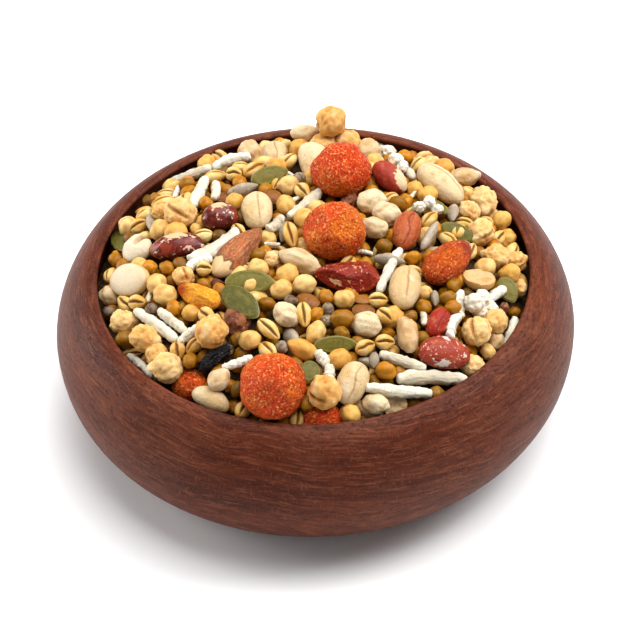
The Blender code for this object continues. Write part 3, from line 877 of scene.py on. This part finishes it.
def nubForm(unit, seed):
    # one knob of a popped grain
    return unit * lumpy(unit, seed, (2.0, 0.24), (5.0, 0.08))


def lentilForm(unit, seed):
    x, y, z = unit
    rim = math.sqrt(x * x + y * y)
    return Vector((x, y, z * (1 - 0.25 * rim * rim)))


def discForm(unit, seed):
    # a thick disc, its edge a little uneven
    x, y, z = unit
    edge = 1 + 0.05 * noise.noise(Vector((x * 1.4, y * 1.4, seed)))
    return Vector((x * edge, y * edge, math.copysign(abs(z) ** 0.7, z)))


def wheatForm(unit, seed):
    # a plump grain, pointed a little at one end, with a deep crease
    x, y, z = unit
    girth = (1 - 0.12 * x * x - 0.14 * x) * lumpy(unit, seed, (2.2, 0.06))
    bent = y - 0.16 * noise.noise(Vector((x * 1.5, seed, 0)))
    crease = 0.58 * soft(bent, 0.0, 0.13) * max(0.0, z) * (1 - abs(x) ** 5)
    return Vector((x, y * girth * (1 + 0.1 * max(z, 0.0)), z * girth - crease))


def riceForm(unit, seed):
    # puffed into uneven rings, and bent
    x, y, z = unit
    bulge = 1 + 0.2 * noise.noise(Vector((x * 4.0 + seed, y * 0.9, z * 0.9)))
    bulge += 0.07 * math.sin(x * 17 + 5 * noise.noise(Vector((x * 2 + seed, 0, 0))))
    bulge += 0.12 * noise.noise(Vector((x * 9, y * 3.2, z * 3.2)) + Vector((0, seed, 0)))
    bend = 1.1 * noise.noise(Vector((seed, 0.5, 0.5)))
    girth = bulge * max(1 - x * x, 0.06) ** -0.3 * 0.9
    return Vector((x, y * girth + bend * (1 - x * x), z * girth))


def seedForm(unit, seed):
    # flat, with one pointed end and a raised rim
    x, y, z = unit
    point = 1 - 0.36 * max(x, 0.0) ** 2.2
    rim = math.sqrt(min(1.0, x * x + y * y))
    swell = 1 + 0.1 * noise.noise(Vector((x * 2.2, y * 2.2, seed)))
    return Vector((x, y * point, z * (0.7 + 0.34 * soft(rim, 0.86, 0.11)) * point * swell))


def sunflowerForm(unit, seed):
    x, y, z = unit
    point = 1 - 0.45 * max(x, 0.0) ** 1.6
    swell = 1 + 0.08 * noise.noise(Vector((x * 2.0, y * 5.0, z * 5.0 + seed)))
    return Vector((x, y * point * swell, z * point * swell))


def halfForm(unit, seed):
    # a split kernel with its uneven flat face up
    x, y, z = unit
    hollow = 0.1 * (1 - min(1.0, x * x + y * y)) + 0.14 * noise.noise(Vector((x * 2.6, y * 2.6, seed)))
    return Vector((x, y, z if z < 0.12 else 0.12 - hollow * (1 if z > 0.3 else z / 0.3)))


# Each kind: its form, usual length, width and thickness (mm), how fine it is, its looks, and where the
# photograph shows it. A spot is (x, y) with an optional length, or both ends (x, y, x, y) with an
# optional width. Raised ones are (x, y), width, how far they are raised, and how thick for their width.
# fill is its share of the pieces that lie in between.
kinds = {
    "chickpeas": {
        "form": chickpeaForm, "size": (9.6, 9.2, 8.8), "count": 16, "fill": 6,
        "spots": [
            (180, 213, 10.5), (161, 212, 7.0), (217, 338, 10.5), (168, 378, 9.5),
            (149, 341, 9.0), (123, 322, 8.0), (332, 396, 10.5), (484, 203, 9.5), (502, 214, 8.5),
            (469, 212, 7.5), (479, 233, 8.7), (497, 257, 8.5), (516, 262, 7.0), (526, 289, 7.0),
            (477, 331, 9.5), (491, 324, 8.0), (476, 368, 7.5), (186, 276, 7.0), (435, 158, 9.0),
            (155, 352, 7.5), (270, 259, 5.5),
        ],
        "raised": [
            (331, 125, 10.5, 6.9, 1.0), (322, 146, 9.0, 0.4, 1.0), (345, 142, 9.0, 1.4, 1.0),
            (434, 157, 9.0, 3.0, 1.0),
        ],
        "look": {
            "roughness": 0.55, "bump": 0.45, "bumpScale": 800, "glow": 0.08,
            "share": 0.79,
            "tones": [(0.0, (0.84, 0.51, 0.19)), (0.5, (0.89, 0.6, 0.27)), (1.0, (0.93, 0.69, 0.38))],
            "layers": [
                (110, 0.48, 0.64, 0.55, (0.88, 0.6, 0.2)), (330, 0.54, 0.68, 0.45, (0.68, 0.35, 0.105)),
                (1500, 0.64, 0.68, 0.55, (0.42, 0.18, 0.06)), (900, 0.62, 0.68, 0.5, (0.93, 0.82, 0.6)),
            ],
            "dipShade": (0.16, 0.8, (0.5, 0.225, 0.05)), "crestHighlight": (0.14, 0.55, (0.94, 0.8, 0.54)),
        },
    },
    "halvedChickpeas": {
        "form": halfForm, "size": (9.5, 8.8, 7.0), "count": 16, "faceUp": True, "raise": 1.5,
        "spots": [(479, 278, 10.0), (396, 403, 7.4)],
        "look": {
            "roughness": 0.6, "bump": 0.4, "glow": 0.1,
            "tones": [(0.0, (0.8, 0.59, 0.34)), (1.0, (0.84, 0.66, 0.42))],
            "layers": [
                (230, 0.5, 0.62, 0.7, (0.72, 0.44, 0.18)), (900, 0.6, 0.66, 0.6, (0.5, 0.26, 0.09)),
            ],
            "rim": (0.8, 0.48, 0.18),
        },
    },
    "creamKernels": {
        "form": kernelForm, "size": (8.6, 7.4, 6.6), "count": 14, "fill": 5,
        "spots": [
            (372, 202, 9.2), (366, 151, 9.2), (286, 315, 8.6), (366, 325, 9.0), (219, 380, 7.6),
            (375, 404, 8.0), (374, 228, 8.6), (285, 142, 7.0), (498, 339, 6.6),
            (280, 255, 318, 272, 7.6), (403, 316, 410, 351, 7.4),
            (355, 396, 384, 418, 5.0), (110, 293, 7.0),
        ],
        "raised": [(304, 133, 8.4, 5.2, 0.74), (466, 176, 9.6, 4.4, 0.66)],
        "look": {
            "roughness": 0.36, "bump": 0.32, "glow": 0.06,
            "tones": [(0.0, (0.79, 0.56, 0.32)), (0.5, (0.87, 0.7, 0.46)), (1.0, (0.9, 0.78, 0.56))],
            "layers": [
                (110, 0.5, 0.66, 0.5, (0.8, 0.53, 0.23)), (420, 0.54, 0.68, 0.4, (0.66, 0.42, 0.19)),
                (1600, 0.64, 0.69, 0.55, (0.42, 0.2, 0.08)),
            ],
            "dipShade": (0.1, 0.5, (0.55, 0.3, 0.12)), "crestHighlight": (0.12, 0.5, (0.92, 0.84, 0.68)),
        },
    },
    "flatKernels": {
        "form": discForm, "size": (11.0, 10.4, 5.2), "count": 16, "raise": 1.2, "facing": 0.7,
        "spots": [(110, 283, 146, 283, 10.4), (219, 373, 219, 387, 6.4)],
        "look": {
            "roughness": 0.34, "bump": 0.2, "glow": 0.1,
            "tones": [(0.0, (0.88, 0.74, 0.54)), (1.0, (0.9, 0.78, 0.6))],
            "layers": [
                (110, 0.5, 0.66, 0.45, (0.86, 0.64, 0.4)), (1700, 0.66, 0.7, 0.5, (0.55, 0.32, 0.16)),
            ],
            "rim": (0.8, 0.56, 0.28),
        },
    },
    "soyPeas": {
        "form": peaForm, "size": (6.9, 6.3, 6.0), "count": 9, "fill": 24,
        "spots": [
            (157, 284), (165, 295, 7.4), (280, 289), (304, 285, 7.2), (258, 269), (290, 186), (286, 205),
            (250, 340, 6.6), (320, 322, 312, 342, 5.6), (290, 342, 318, 356, 6.0), (340, 361), (350, 413),
            (488, 352, 5.2), (392, 315, 7.2), (191, 313, 5.4), (196, 229, 4.0), (512, 237, 6.0),
            (424, 293, 5.0),
        ],
        "look": {
            "roughness": 0.34, "bump": 0.16, "glow": 0.05,
            "tones": [(0.0, (0.82, 0.49, 0.14)), (0.4, (0.9, 0.6, 0.215)), (1.0, (0.95, 0.72, 0.37))],
            "layers": [
                (150, 0.48, 0.66, 0.5, (0.8, 0.5, 0.13)), (600, 0.6, 0.7, 0.35, (0.56, 0.3, 0.09)),
            ],
            "dipShade": (0.07, 0.5, (0.6, 0.3, 0.07)),
            "end": (0.42, 0.2, 0.07), "endFrom": 0.97, "endFull": 1.05,
        },
    },
    "mungBeans": {
        "form": peaForm, "size": (5.2, 4.4, 4.2), "count": 6, "fill": 27, "raise": 1.0,
        "spots": [
            (256, 150), (404, 157), (398, 204, 6.0), (413, 258), (156, 200), (145, 203), (204, 203),
            (116, 260), (150, 268), (168, 268), (180, 265), (125, 340, 6.4), (174, 308), (193, 362),
            (384, 246), (326, 297), (316, 315), (342, 320, 7.0), (342, 333), (452, 284), (448, 298),
            (446, 315), (307, 405), (315, 372), (434, 394), (267, 304), (187, 184), (260, 256),
            (386, 371, 6.4),
        ],
        "look": {
            "roughness": 0.34, "bump": 0.12,
            "tones": [(0.0, (0.24, 0.14, 0.02)), (0.3, (0.42, 0.235, 0.022)), (0.65, (0.6, 0.31, 0.022)),
                      (1.0, (0.8, 0.41, 0.035))],
            "layers": [
                (180, 0.48, 0.62, 0.55, (0.56, 0.25, 0.025)), (700, 0.58, 0.68, 0.4, (0.26, 0.13, 0.02)),
            ],
            "dipShade": (0.06, 0.5, (0.24, 0.13, 0.03)),
            "seam": (0.8, 0.62, 0.3), "seamWidth": 0.12, "seamShare": 0.16,
        },
    },
    "lentils": {
        "form": lentilForm, "size": (5.8, 5.6, 2.6), "count": 6, "fill": 6, "raise": 1.6,
        "spots": [
            (273, 197), (222, 196), (293, 145), (297, 296, 318, 306), (352, 308, 375, 313), (362, 300),
        ],
        "look": {
            "roughness": 0.45, "bump": 0.15,
            "tones": [(0.0, (0.34, 0.15, 0.04)), (1.0, (0.52, 0.26, 0.065))],
            "layers": [
                (400, 0.52, 0.62, 0.6, (0.22, 0.09, 0.04)), (1400, 0.6, 0.66, 0.5, (0.6, 0.36, 0.18)),
            ],
            "rim": (0.66, 0.42, 0.22),
        },
    },
    "wheatGrains": {
        "form": wheatForm, "size": (7.2, 4.6, 4.2), "count": 10, "fill": 18, "raise": 1.4,
        "faceUp": True, "facing": 0.7,
        "spots": [
            (288, 223, 294, 247), (259, 320, 279, 339), (201, 308, 214, 320), (175, 344, 178, 362),
            (303, 303, 306, 327), (375, 342, 395, 342), (355, 351, 374, 343), (368, 300, 388, 300),
            (382, 310, 396, 322), (226, 174, 242, 174), (244, 175, 264, 164), (297, 186, 308, 197),
            (131, 231, 147, 221), (129, 304, 145, 304), (201, 268, 217, 268), (214, 154, 228, 162),
        ],
        "look": {
            "roughness": 0.45, "bump": 0.22, "glow": 0.08,
            "tones": [(0.0, (0.84, 0.51, 0.14)), (0.5, (0.91, 0.64, 0.23)), (1.0, (0.96, 0.76, 0.37))],
            "layers": [
                (160, 0.5, 0.64, 0.45, (0.8, 0.5, 0.14)), (700, 0.6, 0.7, 0.4, (0.56, 0.3, 0.08)),
            ],
            "dipShade": (0.2, 0.75, (0.3, 0.12, 0.03)), "crestHighlight": (0.05, 0.4, (0.94, 0.82, 0.54)),
            # the dark seam is painted shade down the crease
            "seam": (0.24, 0.085, 0.02), "seamWidth": 0.15, "seamShare": 0.75,
        },
    },
    "puffedRice": {
        "form": riceForm, "size": (11.0, 3.5, 3.3), "count": 16, "raise": 1.6,
        "spots": [
            (165, 187, 212, 168, 4.2), (212, 168, 250, 156, 4.0), (208, 178, 195, 207, 4.2),
            (186, 262, 236, 232, 4.8), (188, 268, 213, 257, 4.2), (319, 189, 287, 216, 4.0),
            (283, 217, 268, 229, 4.0), (218, 183, 217, 200, 3.2), (377, 143, 415, 178, 3.8),
            (402, 249, 380, 293, 3.6), (134, 310, 176, 340, 4.0), (159, 310, 186, 332, 3.6),
            (178, 345, 203, 326, 3.4), (128, 355, 152, 377, 2.8), (222, 368, 253, 357, 3.0),
            (316, 352, 328, 366, 3.8), (328, 364, 328, 382, 3.8), (461, 291, 461, 318, 3.8),
            (460, 314, 451, 339, 3.8), (488, 300, 506, 288, 3.8),
            (516, 314, 501, 350, 3.6), (382, 353, 429, 368, 3.8), (395, 380, 466, 382, 5.2),
            (363, 387, 431, 394, 4.2), (294, 200, 5.0), (272, 244, 5.0), (292, 176, 4.6), (412, 196, 4.6),
            (424, 318, 6.6), (177, 192, 6.0), (209, 159, 5.0), (365, 253, 5.0), (149, 297, 4.6),
        ],
        "look": {
            "roughness": 0.6, "bump": 0.45, "glow": 0.15,
            "share": 0.9,
            "tones": [(0.0, (0.77, 0.72, 0.6)), (0.6, (0.82, 0.785, 0.68)), (1.0, (0.84, 0.81, 0.73))],
            "layers": [
                (190, 0.5, 0.66, 0.5, (0.7, 0.63, 0.48)), (900, 0.62, 0.68, 0.35, (0.56, 0.49, 0.38)),
                (1600, 0.69, 0.72, 0.6, (0.34, 0.27, 0.18)),
            ],
            "dipShade": (0.25, 0.6, (0.58, 0.5, 0.38)),
        },
    },
    "poppedGrain": {
        "form": nubForm, "size": (5.2, 4.8, 4.4), "count": 12, "raise": 2.0,
        "spots": [
            (475, 306, 6.0), (484, 302, 5.4), (483, 310, 5.0), (486, 306, 4.6), (430, 203, 4.4),
            (419, 207, 4.0), (437, 209, 3.8), (388, 152, 5.0), (396, 160, 4.8), (404, 168, 4.2),
        ],
        "look": {
            "roughness": 0.6, "bump": 0.4, "glow": 0.15,
            "share": 0.9,
            "tones": [(0.0, (0.81, 0.76, 0.65)), (1.0, (0.84, 0.815, 0.74))],
            "layers": [
                (190, 0.5, 0.66, 0.4, (0.74, 0.66, 0.5)), (1600, 0.69, 0.72, 0.5, (0.4, 0.32, 0.22)),
            ],
            "dipShade": (0.14, 0.6, (0.62, 0.54, 0.42)),
        },
    },
    "pumpkinSeeds": {
        "form": seedForm, "size": (12.5, 6.8, 2.2), "count": 14, "raise": 2.8, "facing": 0.85,
        "spots": [
            (251, 181, 288, 170, 6.0), (226, 284, 276, 284, 7.6), (222, 288, 257, 317, 8.2),
            (313, 347, 356, 345, 5.2), (441, 224, 476, 238, 5.4), (424, 199, 449, 214, 3.6),
            (372, 139, 404, 148, 4.0), (500, 279, 513, 304, 6.0), (112, 232, 122, 250, 5.2),
            (312, 362, 309, 384, 6.0),
        ],
        "look": {
            "roughness": 0.4, "bumpScale": 700,
            "tones": [
                (0.0, (0.17, 0.165, 0.05)), (0.5, (0.25, 0.225, 0.06)), (1.0, (0.33, 0.285, 0.07)),
            ],
            "layers": [
                (-2.4, 0.5, 0.62, 0.5, (0.36, 0.32, 0.12)), (300, 0.52, 0.64, 0.5, (0.33, 0.28, 0.055)),
                (900, 0.58, 0.66, 0.6, (0.13, 0.13, 0.05)),
            ],
            "rim": (0.52, 0.48, 0.26),
        },
    },
    "hempSeeds": {
        "form": peaForm, "size": (4.4, 3.8, 3.6), "count": 5, "fill": 5, "raise": 1.0,
        "spots": [(152, 309), (328, 309), (327, 321), (291, 301), (284, 347), (301, 178), (110, 312)],
        "look": {
            "roughness": 0.45, "bump": 0.12,
            "tones": [(0.0, (0.34, 0.24, 0.16)), (1.0, (0.52, 0.43, 0.32))],
            "layers": [
                (700, 0.5, 0.56, 0.85, (0.2, 0.13, 0.09)), (1400, 0.62, 0.66, 0.6, (0.72, 0.64, 0.5)),
            ],
            "end": (0.62, 0.56, 0.44), "endFrom": 0.9, "endFull": 0.96,
        },
    },
    "sunflowerKernels": {
        "form": sunflowerForm, "size": (8.6, 4.6, 3.0), "count": 8, "fill": 3, "raise": 2.0,
        "spots": [
            (225, 195, 256, 186, 4.0), (370, 258, 402, 262, 4.0), (424, 250, 440, 222, 5.0),
            (152, 214, 152, 230, 3.4), (453, 205, 453, 221, 4.2), (435, 291, 435, 306, 3.6),
            (374, 352, 374, 368, 3.2),
        ],
        "look": {
            "roughness": 0.5,
            "tones": [(0.0, (0.52, 0.44, 0.34)), (1.0, (0.66, 0.58, 0.48))],
            "layers": [
                (-2.6, 0.52, 0.62, 0.55, (0.36, 0.28, 0.2)), (900, 0.6, 0.66, 0.5, (0.28, 0.2, 0.14)),
                (260, 0.56, 0.66, 0.4, (0.78, 0.7, 0.58)),
            ],
        },
    },
    "skinCrumbs": {
        "form": crumbForm, "size": (4.2, 3.4, 2.6), "count": 8, "fill": 2,
        "spots": [
            (283, 268), (216, 284), (504, 308), (499, 313), (238, 321, 9.0), (348, 200, 6.6),
            (133, 221, 5.0),
        ],
        "look": {
            "roughness": 0.5, "bump": 0.5,
            "tones": [(0.0, (0.3, 0.11, 0.06)), (0.6, (0.46, 0.21, 0.1)), (1.0, (0.62, 0.36, 0.2))],
            "layers": [
                (420, 0.5, 0.6, 0.7, (0.2, 0.06, 0.035)), (1200, 0.6, 0.65, 0.7, (0.74, 0.5, 0.32)),
            ],
            "dipShade": (0.12, 0.6, (0.14, 0.045, 0.03)),
        },
    },
}

# how the pieces in between are strewn, and how all are eased apart
strew = {
    "seed": 11,
    "variants": 6,  # differently formed meshes of each kind
    "variantSeeds": (1.7, 5.3),  # the first one's, and the step to the next
    # each pass: places tried, share of two summed radii that middles keep apart, drop, kinds
    "passes": [
        (1500, 0.88, 0.0, ("chickpeas", "creamKernels", "soyPeas", "wheatGrains")),
        (1800, 0.8, 0.5, ("soyPeas", "wheatGrains", "mungBeans", "sunflowerKernels")),
        (1500, 0.74, 2.8, ("soyPeas", "wheatGrains", "creamKernels", "mungBeans", "mungBeans")),
        (1400, 0.74, 2.0, ("mungBeans", "wheatGrains", "lentils", "hempSeeds", "skinCrumbs")),
    ],
    "reach": 62.5,
    "spiralTurn": 137.508,
    "tilt": 0.35,
    "roll": 0.45,  # for kinds that lie flat
    "shownRoll": 0.3,  # share of it that a shown piece keeps
    "thin": 0.6,  # a kind this much thinner than wide lies flat
    "longFrom": 1.35,  # a piece this much longer than wide is a row of balls
    "sizeRange": (0.88, 1.12),
    "easings": 50,
    "overlap": 0.93,  # share of its radius that a piece keeps to itself
    "push": 0.45,
    "homing": 0.1,  # how strongly a shown piece goes back to its spot
    "gap": 0.6,  # kept to the wall, and allowed above the level
    "shownEase": 0.22,  # how easily a shown piece gives way, where one in between has 1
    "raisedEase": 0.05,
}
rng = random.Random(strew["seed"])


def ballsAlong(piece):
    # the piece as one ball, or a row of balls along it
    length, width, thick = piece["size"]
    radius = (width + thick) / 4
    if piece["along"] is None or length < width * strew["longFrom"]:
        return [(Vector((0, 0, 0)), (length + width + thick) / 6)]
    count = max(2, round(length / width))
    reach = length / 2 - radius
    return [(piece["along"] * (reach * (2 * i / (count - 1) - 1)), radius) for i in range(count)]


def ballsOf(piece):
    return [(tuple(piece["point"] + offset), radius) for offset, radius in ballsAlong(piece)]


def newPiece(kind, point, along, size, ease):
    return {"kind": kind, "point": point, "along": along, "size": size, "ease": ease}


def shownPieces():
    made = []
    for kind, facts in kinds.items():
        length, width, thick = facts["size"]
        lifted = facts.get("raise", 0.0)
        for spot in facts["spots"]:
            if len(spot) <= 3:
                share = (spot[2] if len(spot) == 3 else length) / length
                size = (length * share, width * share, thick * share)
                point = onHeap(spot[0], spot[1], liftOf(size[2], heap["sink"]) + lifted)
                made.append(newPiece(kind, point, None, size, strew["shownEase"]))
                continue
            wide = spot[4] if len(spot) == 5 else width
            deep = thick * wide / width
            lift = liftOf(deep, heap["sink"]) + lifted
            first, second = onHeap(spot[0], spot[1], lift), onHeap(spot[2], spot[3], lift)
            along = second - first
            size = (along.length, wide, deep)
            made.append(newPiece(kind, (first + second) / 2, along.normalized(), size, strew["shownEase"]))
        for x, y, wide, raised, plump in facts.get("raised", []):
            size = (wide, wide * 0.96 * plump, wide * 0.92 * plump)
            point = onHeap(x, y, liftOf(size[2], heap["sink"]) + raised)
            along = None if plump == 1 else Vector((1, 0, 0))
            made.append(newPiece(kind, point, along, size, strew["raisedEase"]))
    return made


def fixedPieces():
    # the large pieces, which the small ones make way for
    made = []
    for name in largePieces:
        _, _, _, _, *size, _, tip = largePieces[name]
        first, second = laidOut(name)
        turn = Matrix.Rotation(math.radians(tip), 3, "X")
        along = (turn @ (second - first)).normalized()
        made.append(newPiece("large", (first + second) / 2, along, tuple(size), 0.0))
    return made


def strewn(placed, tries, crowding, drop, names):
    # pieces in between, on a turning spiral, wherever there is room
    shares = [kinds[kind]["fill"] for kind in names]
    taken, made = [], []
    for piece in placed:
        taken += ballsOf(piece)
    for number in range(tries):
        kind = rng.choices(names, shares)[0]
        share = rng.uniform(*strew["sizeRange"])
        size = tuple(part * share for part in kinds[kind]["size"])
        radius = strew["reach"] * math.sqrt((number + 0.5) / tries)
        turn = number * math.radians(strew["spiralTurn"]) + drop
        point = Vector((radius * math.cos(turn), radius * math.sin(turn), 0.0))
        point.z = heapLevel(radius) + liftOf(size[2], heap["sink"]) - drop
        heading = rng.uniform(0, 2 * math.pi)
        tilt = rng.uniform(-strew["tilt"], strew["tilt"])
        along = Vector((math.cos(heading), math.sin(heading), tilt)).normalized()
        piece = newPiece(kind, point, along, size, 1.0)
        own = ballsOf(piece)
        near = np.array([centre for centre, _ in taken])
        far = np.array([reach for _, reach in taken])
        gaps = [
            (np.linalg.norm(near - np.array(centre), axis=1) - crowding * (far + reach)).min()
            for centre, reach in own
        ]
        if min(gaps) >= 0:
            made.append(piece)
            taken += own
    return made


def easeApart(placed):
    owner, offsets, radii = [], [], []
    for number, piece in enumerate(placed):
        for offset, radius in ballsAlong(piece):
            owner.append(number)
            offsets.append(tuple(offset))
            radii.append(radius * strew["overlap"])
    owner, offsets, radii = np.array(owner), np.array(offsets), np.array(radii)
    start = np.array([tuple(piece["point"]) for piece in placed])
    ease = np.array([piece["ease"] for piece in placed])
    points = start.copy()
    need = radii[:, None] + radii[None, :]
    same = owner[:, None] == owner[None, :]
    reach = np.array([max(piece["size"][1:]) / 2 for piece in placed])
    tiny = 1e-6
    weight = ease[owner][:, None] / (ease[owner][:, None] + ease[owner][None, :] + tiny)
    for _ in range(strew["easings"]):
        balls = points[owner] + offsets
        apart = balls[:, None, :] - balls[None, :, :]
        distance = np.sqrt((apart ** 2).sum(axis=2)) + tiny
        short = np.where(same, 0.0, np.clip(need - distance, 0.0, None))
        push = (apart / distance[:, :, None] * (short * weight)[:, :, None]).sum(axis=1) * strew["push"]
        moved = np.zeros_like(points)
        np.add.at(moved, owner, push)
        points += moved
        points += (start - points) * (strew["homing"] * (1 - ease[:, None]) * (ease[:, None] > 0))
        out = np.hypot(points[:, 0], points[:, 1])
        most = heap["mouth"] - strew["gap"] - reach
        back = np.where((out > most) & (ease > 0), most / np.maximum(out, tiny), 1.0)
        points[:, 0] *= back
        points[:, 1] *= back
        out = np.hypot(points[:, 0], points[:, 1])
        level = np.array([heapLevel(min(value, heap["radius"])) for value in out])
        high = level + reach + strew["gap"]
        points[:, 2] = np.where(ease > 0.5, np.minimum(points[:, 2], high), points[:, 2])
    for piece, point in zip(placed, points):
        piece["point"] = Vector(point)


def makeKind(kind, placed):
    facts = kinds[kind]
    balls, faces = unitBall(facts["count"])
    unit = np.array([tuple(ball) for ball in balls])
    first, step = strew["variantSeeds"]
    forms = []
    for variant in range(strew["variants"]):
        seed = variant * step + first
        forms.append(np.array([tuple(facts["form"](ball, seed)) for ball in balls]))
    thin = facts["size"][2] < facts["size"][1] * strew["thin"]
    most = strew["roll"]
    points, allFaces, tones, swells = [], [], [], []
    for number, piece in enumerate(placed):
        shape = rng.choice(forms)
        swell = np.linalg.norm(shape, axis=1)
        form = shape * np.array(piece["size"]) / 2
        point, along = piece["point"], piece["along"]
        if along is None:
            heading = rng.uniform(0, 2 * math.pi)
            along = Vector((math.cos(heading), math.sin(heading), 0.0))
        turn = turnFor(point, along)
        roll = rng.uniform(-most, most) if facts.get("faceUp") or thin else rng.uniform(0, 2 * math.pi)
        if piece["ease"] < 1 and "facing" in facts:
            # a shown one turns its broad side towards the eye, as far as the photograph shows it
            level, side = turn.col[2], turn.col[1]
            eye = sightAxes()[2]
            seen = math.atan2(-eye.dot(side), eye.dot(level))
            roll = roll * strew["shownRoll"] + facts["facing"] * seen
        turn = turn @ Matrix.Rotation(roll, 3, "X")
        points.append(form @ np.array(turn).T + np.array(point))
        allFaces.append(faces + number * len(unit))
        tones.append(np.full(len(unit), rng.random()))
        swells.append(swell - np.median(swell))
    made = meshObject(kind, np.vstack(points), np.vstack(allFaces), np.tile(unit, (len(placed), 1)),
                      np.concatenate(tones), np.concatenate(swells))
    made.data.materials.append(foodMaterial(kind, facts["look"]))
    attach(made, "root")
    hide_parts("mix_heap")
    return made


pieces = fixedPieces() + shownPieces()
for strewPass in strew["passes"]:
    pieces += strewn(pieces, *strewPass)
easeApart(pieces)
for kind in kinds:
    own = [piece for piece in pieces if piece["kind"] == kind]
    made = makeKind(kind, own)
    print(kind, len(own), "pieces,", 2 * len(made.data.polygons), "triangles")

# the hidden core under them, its dark colour painted shade that shows through the gaps between pieces, with
# crumb-like grains
coreLook = {
    "dark": (0.02, 0.009, 0.004), "light": (0.09, 0.045, 0.014),
    "roughness": 0.8, "grains": 420, "darkTo": 0.35, "lightFrom": 0.65, "relief": 1.0,
    "clear": 1.0,  # kept to the bowl
    "steps": 20, "turns": 96,
}


def makeCore():
    edge = heap["radius"] - coreLook["clear"]
    dome = []
    for step in range(coreLook["steps"] + 1):
        radius = edge * step / coreLook["steps"]
        dome.append((radius, heapLevel(radius) - heap["coreDepth"]))
    wall = [point for point in wallProfile(coreLook["clear"]) if point[1] < dome[-1][1]]
    profile = (dome + wall + [(0.0, bowlShape["floorHeight"] + coreLook["clear"])])[::-1]
    made = turnedSolid("heapCore", profile, coreLook["turns"])
    material, tree, shader = startMaterial("coreShadeCrumbs", coreLook["roughness"])
    grains = addNoise(tree, coreLook["grains"], 5, 0.6)
    stops = [(coreLook["darkTo"], coreLook["dark"]), (coreLook["lightFrom"], coreLook["light"])]
    colour = addRamp(tree, grains, stops)
    tree.links.new(colour, shader.inputs["Base Color"])
    addBump(tree, shader, grains, coreLook["relief"])
    made.data.materials.append(material)
    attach(made, "root")
    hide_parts("mix_heap")


makeCore()
print("heap laid:", len(pieces), "pieces")

# floor, lights and camera
studio = {
    "floorSize": 6.0,
    "floorColour": (0.9, 0.9, 0.9),
    "floorRoughness": 0.85,
    "world": 0.215,
    "aim": (0, 0, 0.04),
    # place, size (m) and power (W) of each light
    "key": ((0.18, 0.2, 1.1), 1.18, 24.2),
    "left": ((-0.8, 0.23, 0.26), 0.5, 5.6),
    "right": ((0.8, 0.09, 0.79), 0.5, 7.2),
    "front": ((0.05, -0.9, 0.7), 0.6, 0.5),
}


def inScene(name, data):
    made = bpy.data.objects.new(name, data)
    bpy.context.scene.collection.objects.link(made)
    return made


def addLight(name):
    place, size, power = studio[name]
    light = bpy.data.lights.new(name, "AREA")
    light.size = size
    light.energy = power
    made = inScene(name, light)
    made.location = place
    made.rotation_euler = (Vector(studio["aim"]) - Vector(place)).to_track_quat("-Z", "Y").to_euler()


def addFloor():
    half = studio["floorSize"] / 2
    mesh = bpy.data.meshes.new("studioFloor")
    corners = [(-half, -half, 0), (half, -half, 0), (half, half, 0), (-half, half, 0)]
    mesh.from_pydata(corners, [], [(0, 1, 2, 3)])
    made = inScene("studioFloor", mesh)
    material, tree, shader = startMaterial("paleFloor", studio["floorRoughness"])
    shader.inputs["Base Color"].default_value = (*studio["floorColour"], 1)
    mesh.materials.append(material)


def addCamera():
    across, upward, back = sightAxes()
    camera = bpy.data.cameras.new("photoCamera")
    camera.sensor_width = sight["sensor"]
    camera.lens = sight["pixelsAtOne"] * sight["sensor"] / sight["imageWidth"]
    camera.clip_start = sight["nearest"]
    made = inScene("photoCamera", camera)
    turn = Matrix((across, upward, back)).transposed().to_4x4()
    place = (sight["aim"] + back * sight["distance"]) * mm
    made.matrix_world = Matrix.Translation(place) @ turn
    bpy.context.scene.camera = made


addFloor()
for lightName in ("key", "left", "right", "front"):
    addLight(lightName)
world = bpy.data.worlds.new("paleStudio")
world.use_nodes = True
backdrop = world.node_tree.nodes["Background"]
backdrop.inputs["Color"].default_value = (1, 1, 1, 1)
backdrop.inputs["Strength"].default_value = studio["world"]
bpy.context.scene.world = world
bpy.context.scene.view_settings.view_transform = "Standard"
addCamera()

print("studio set")
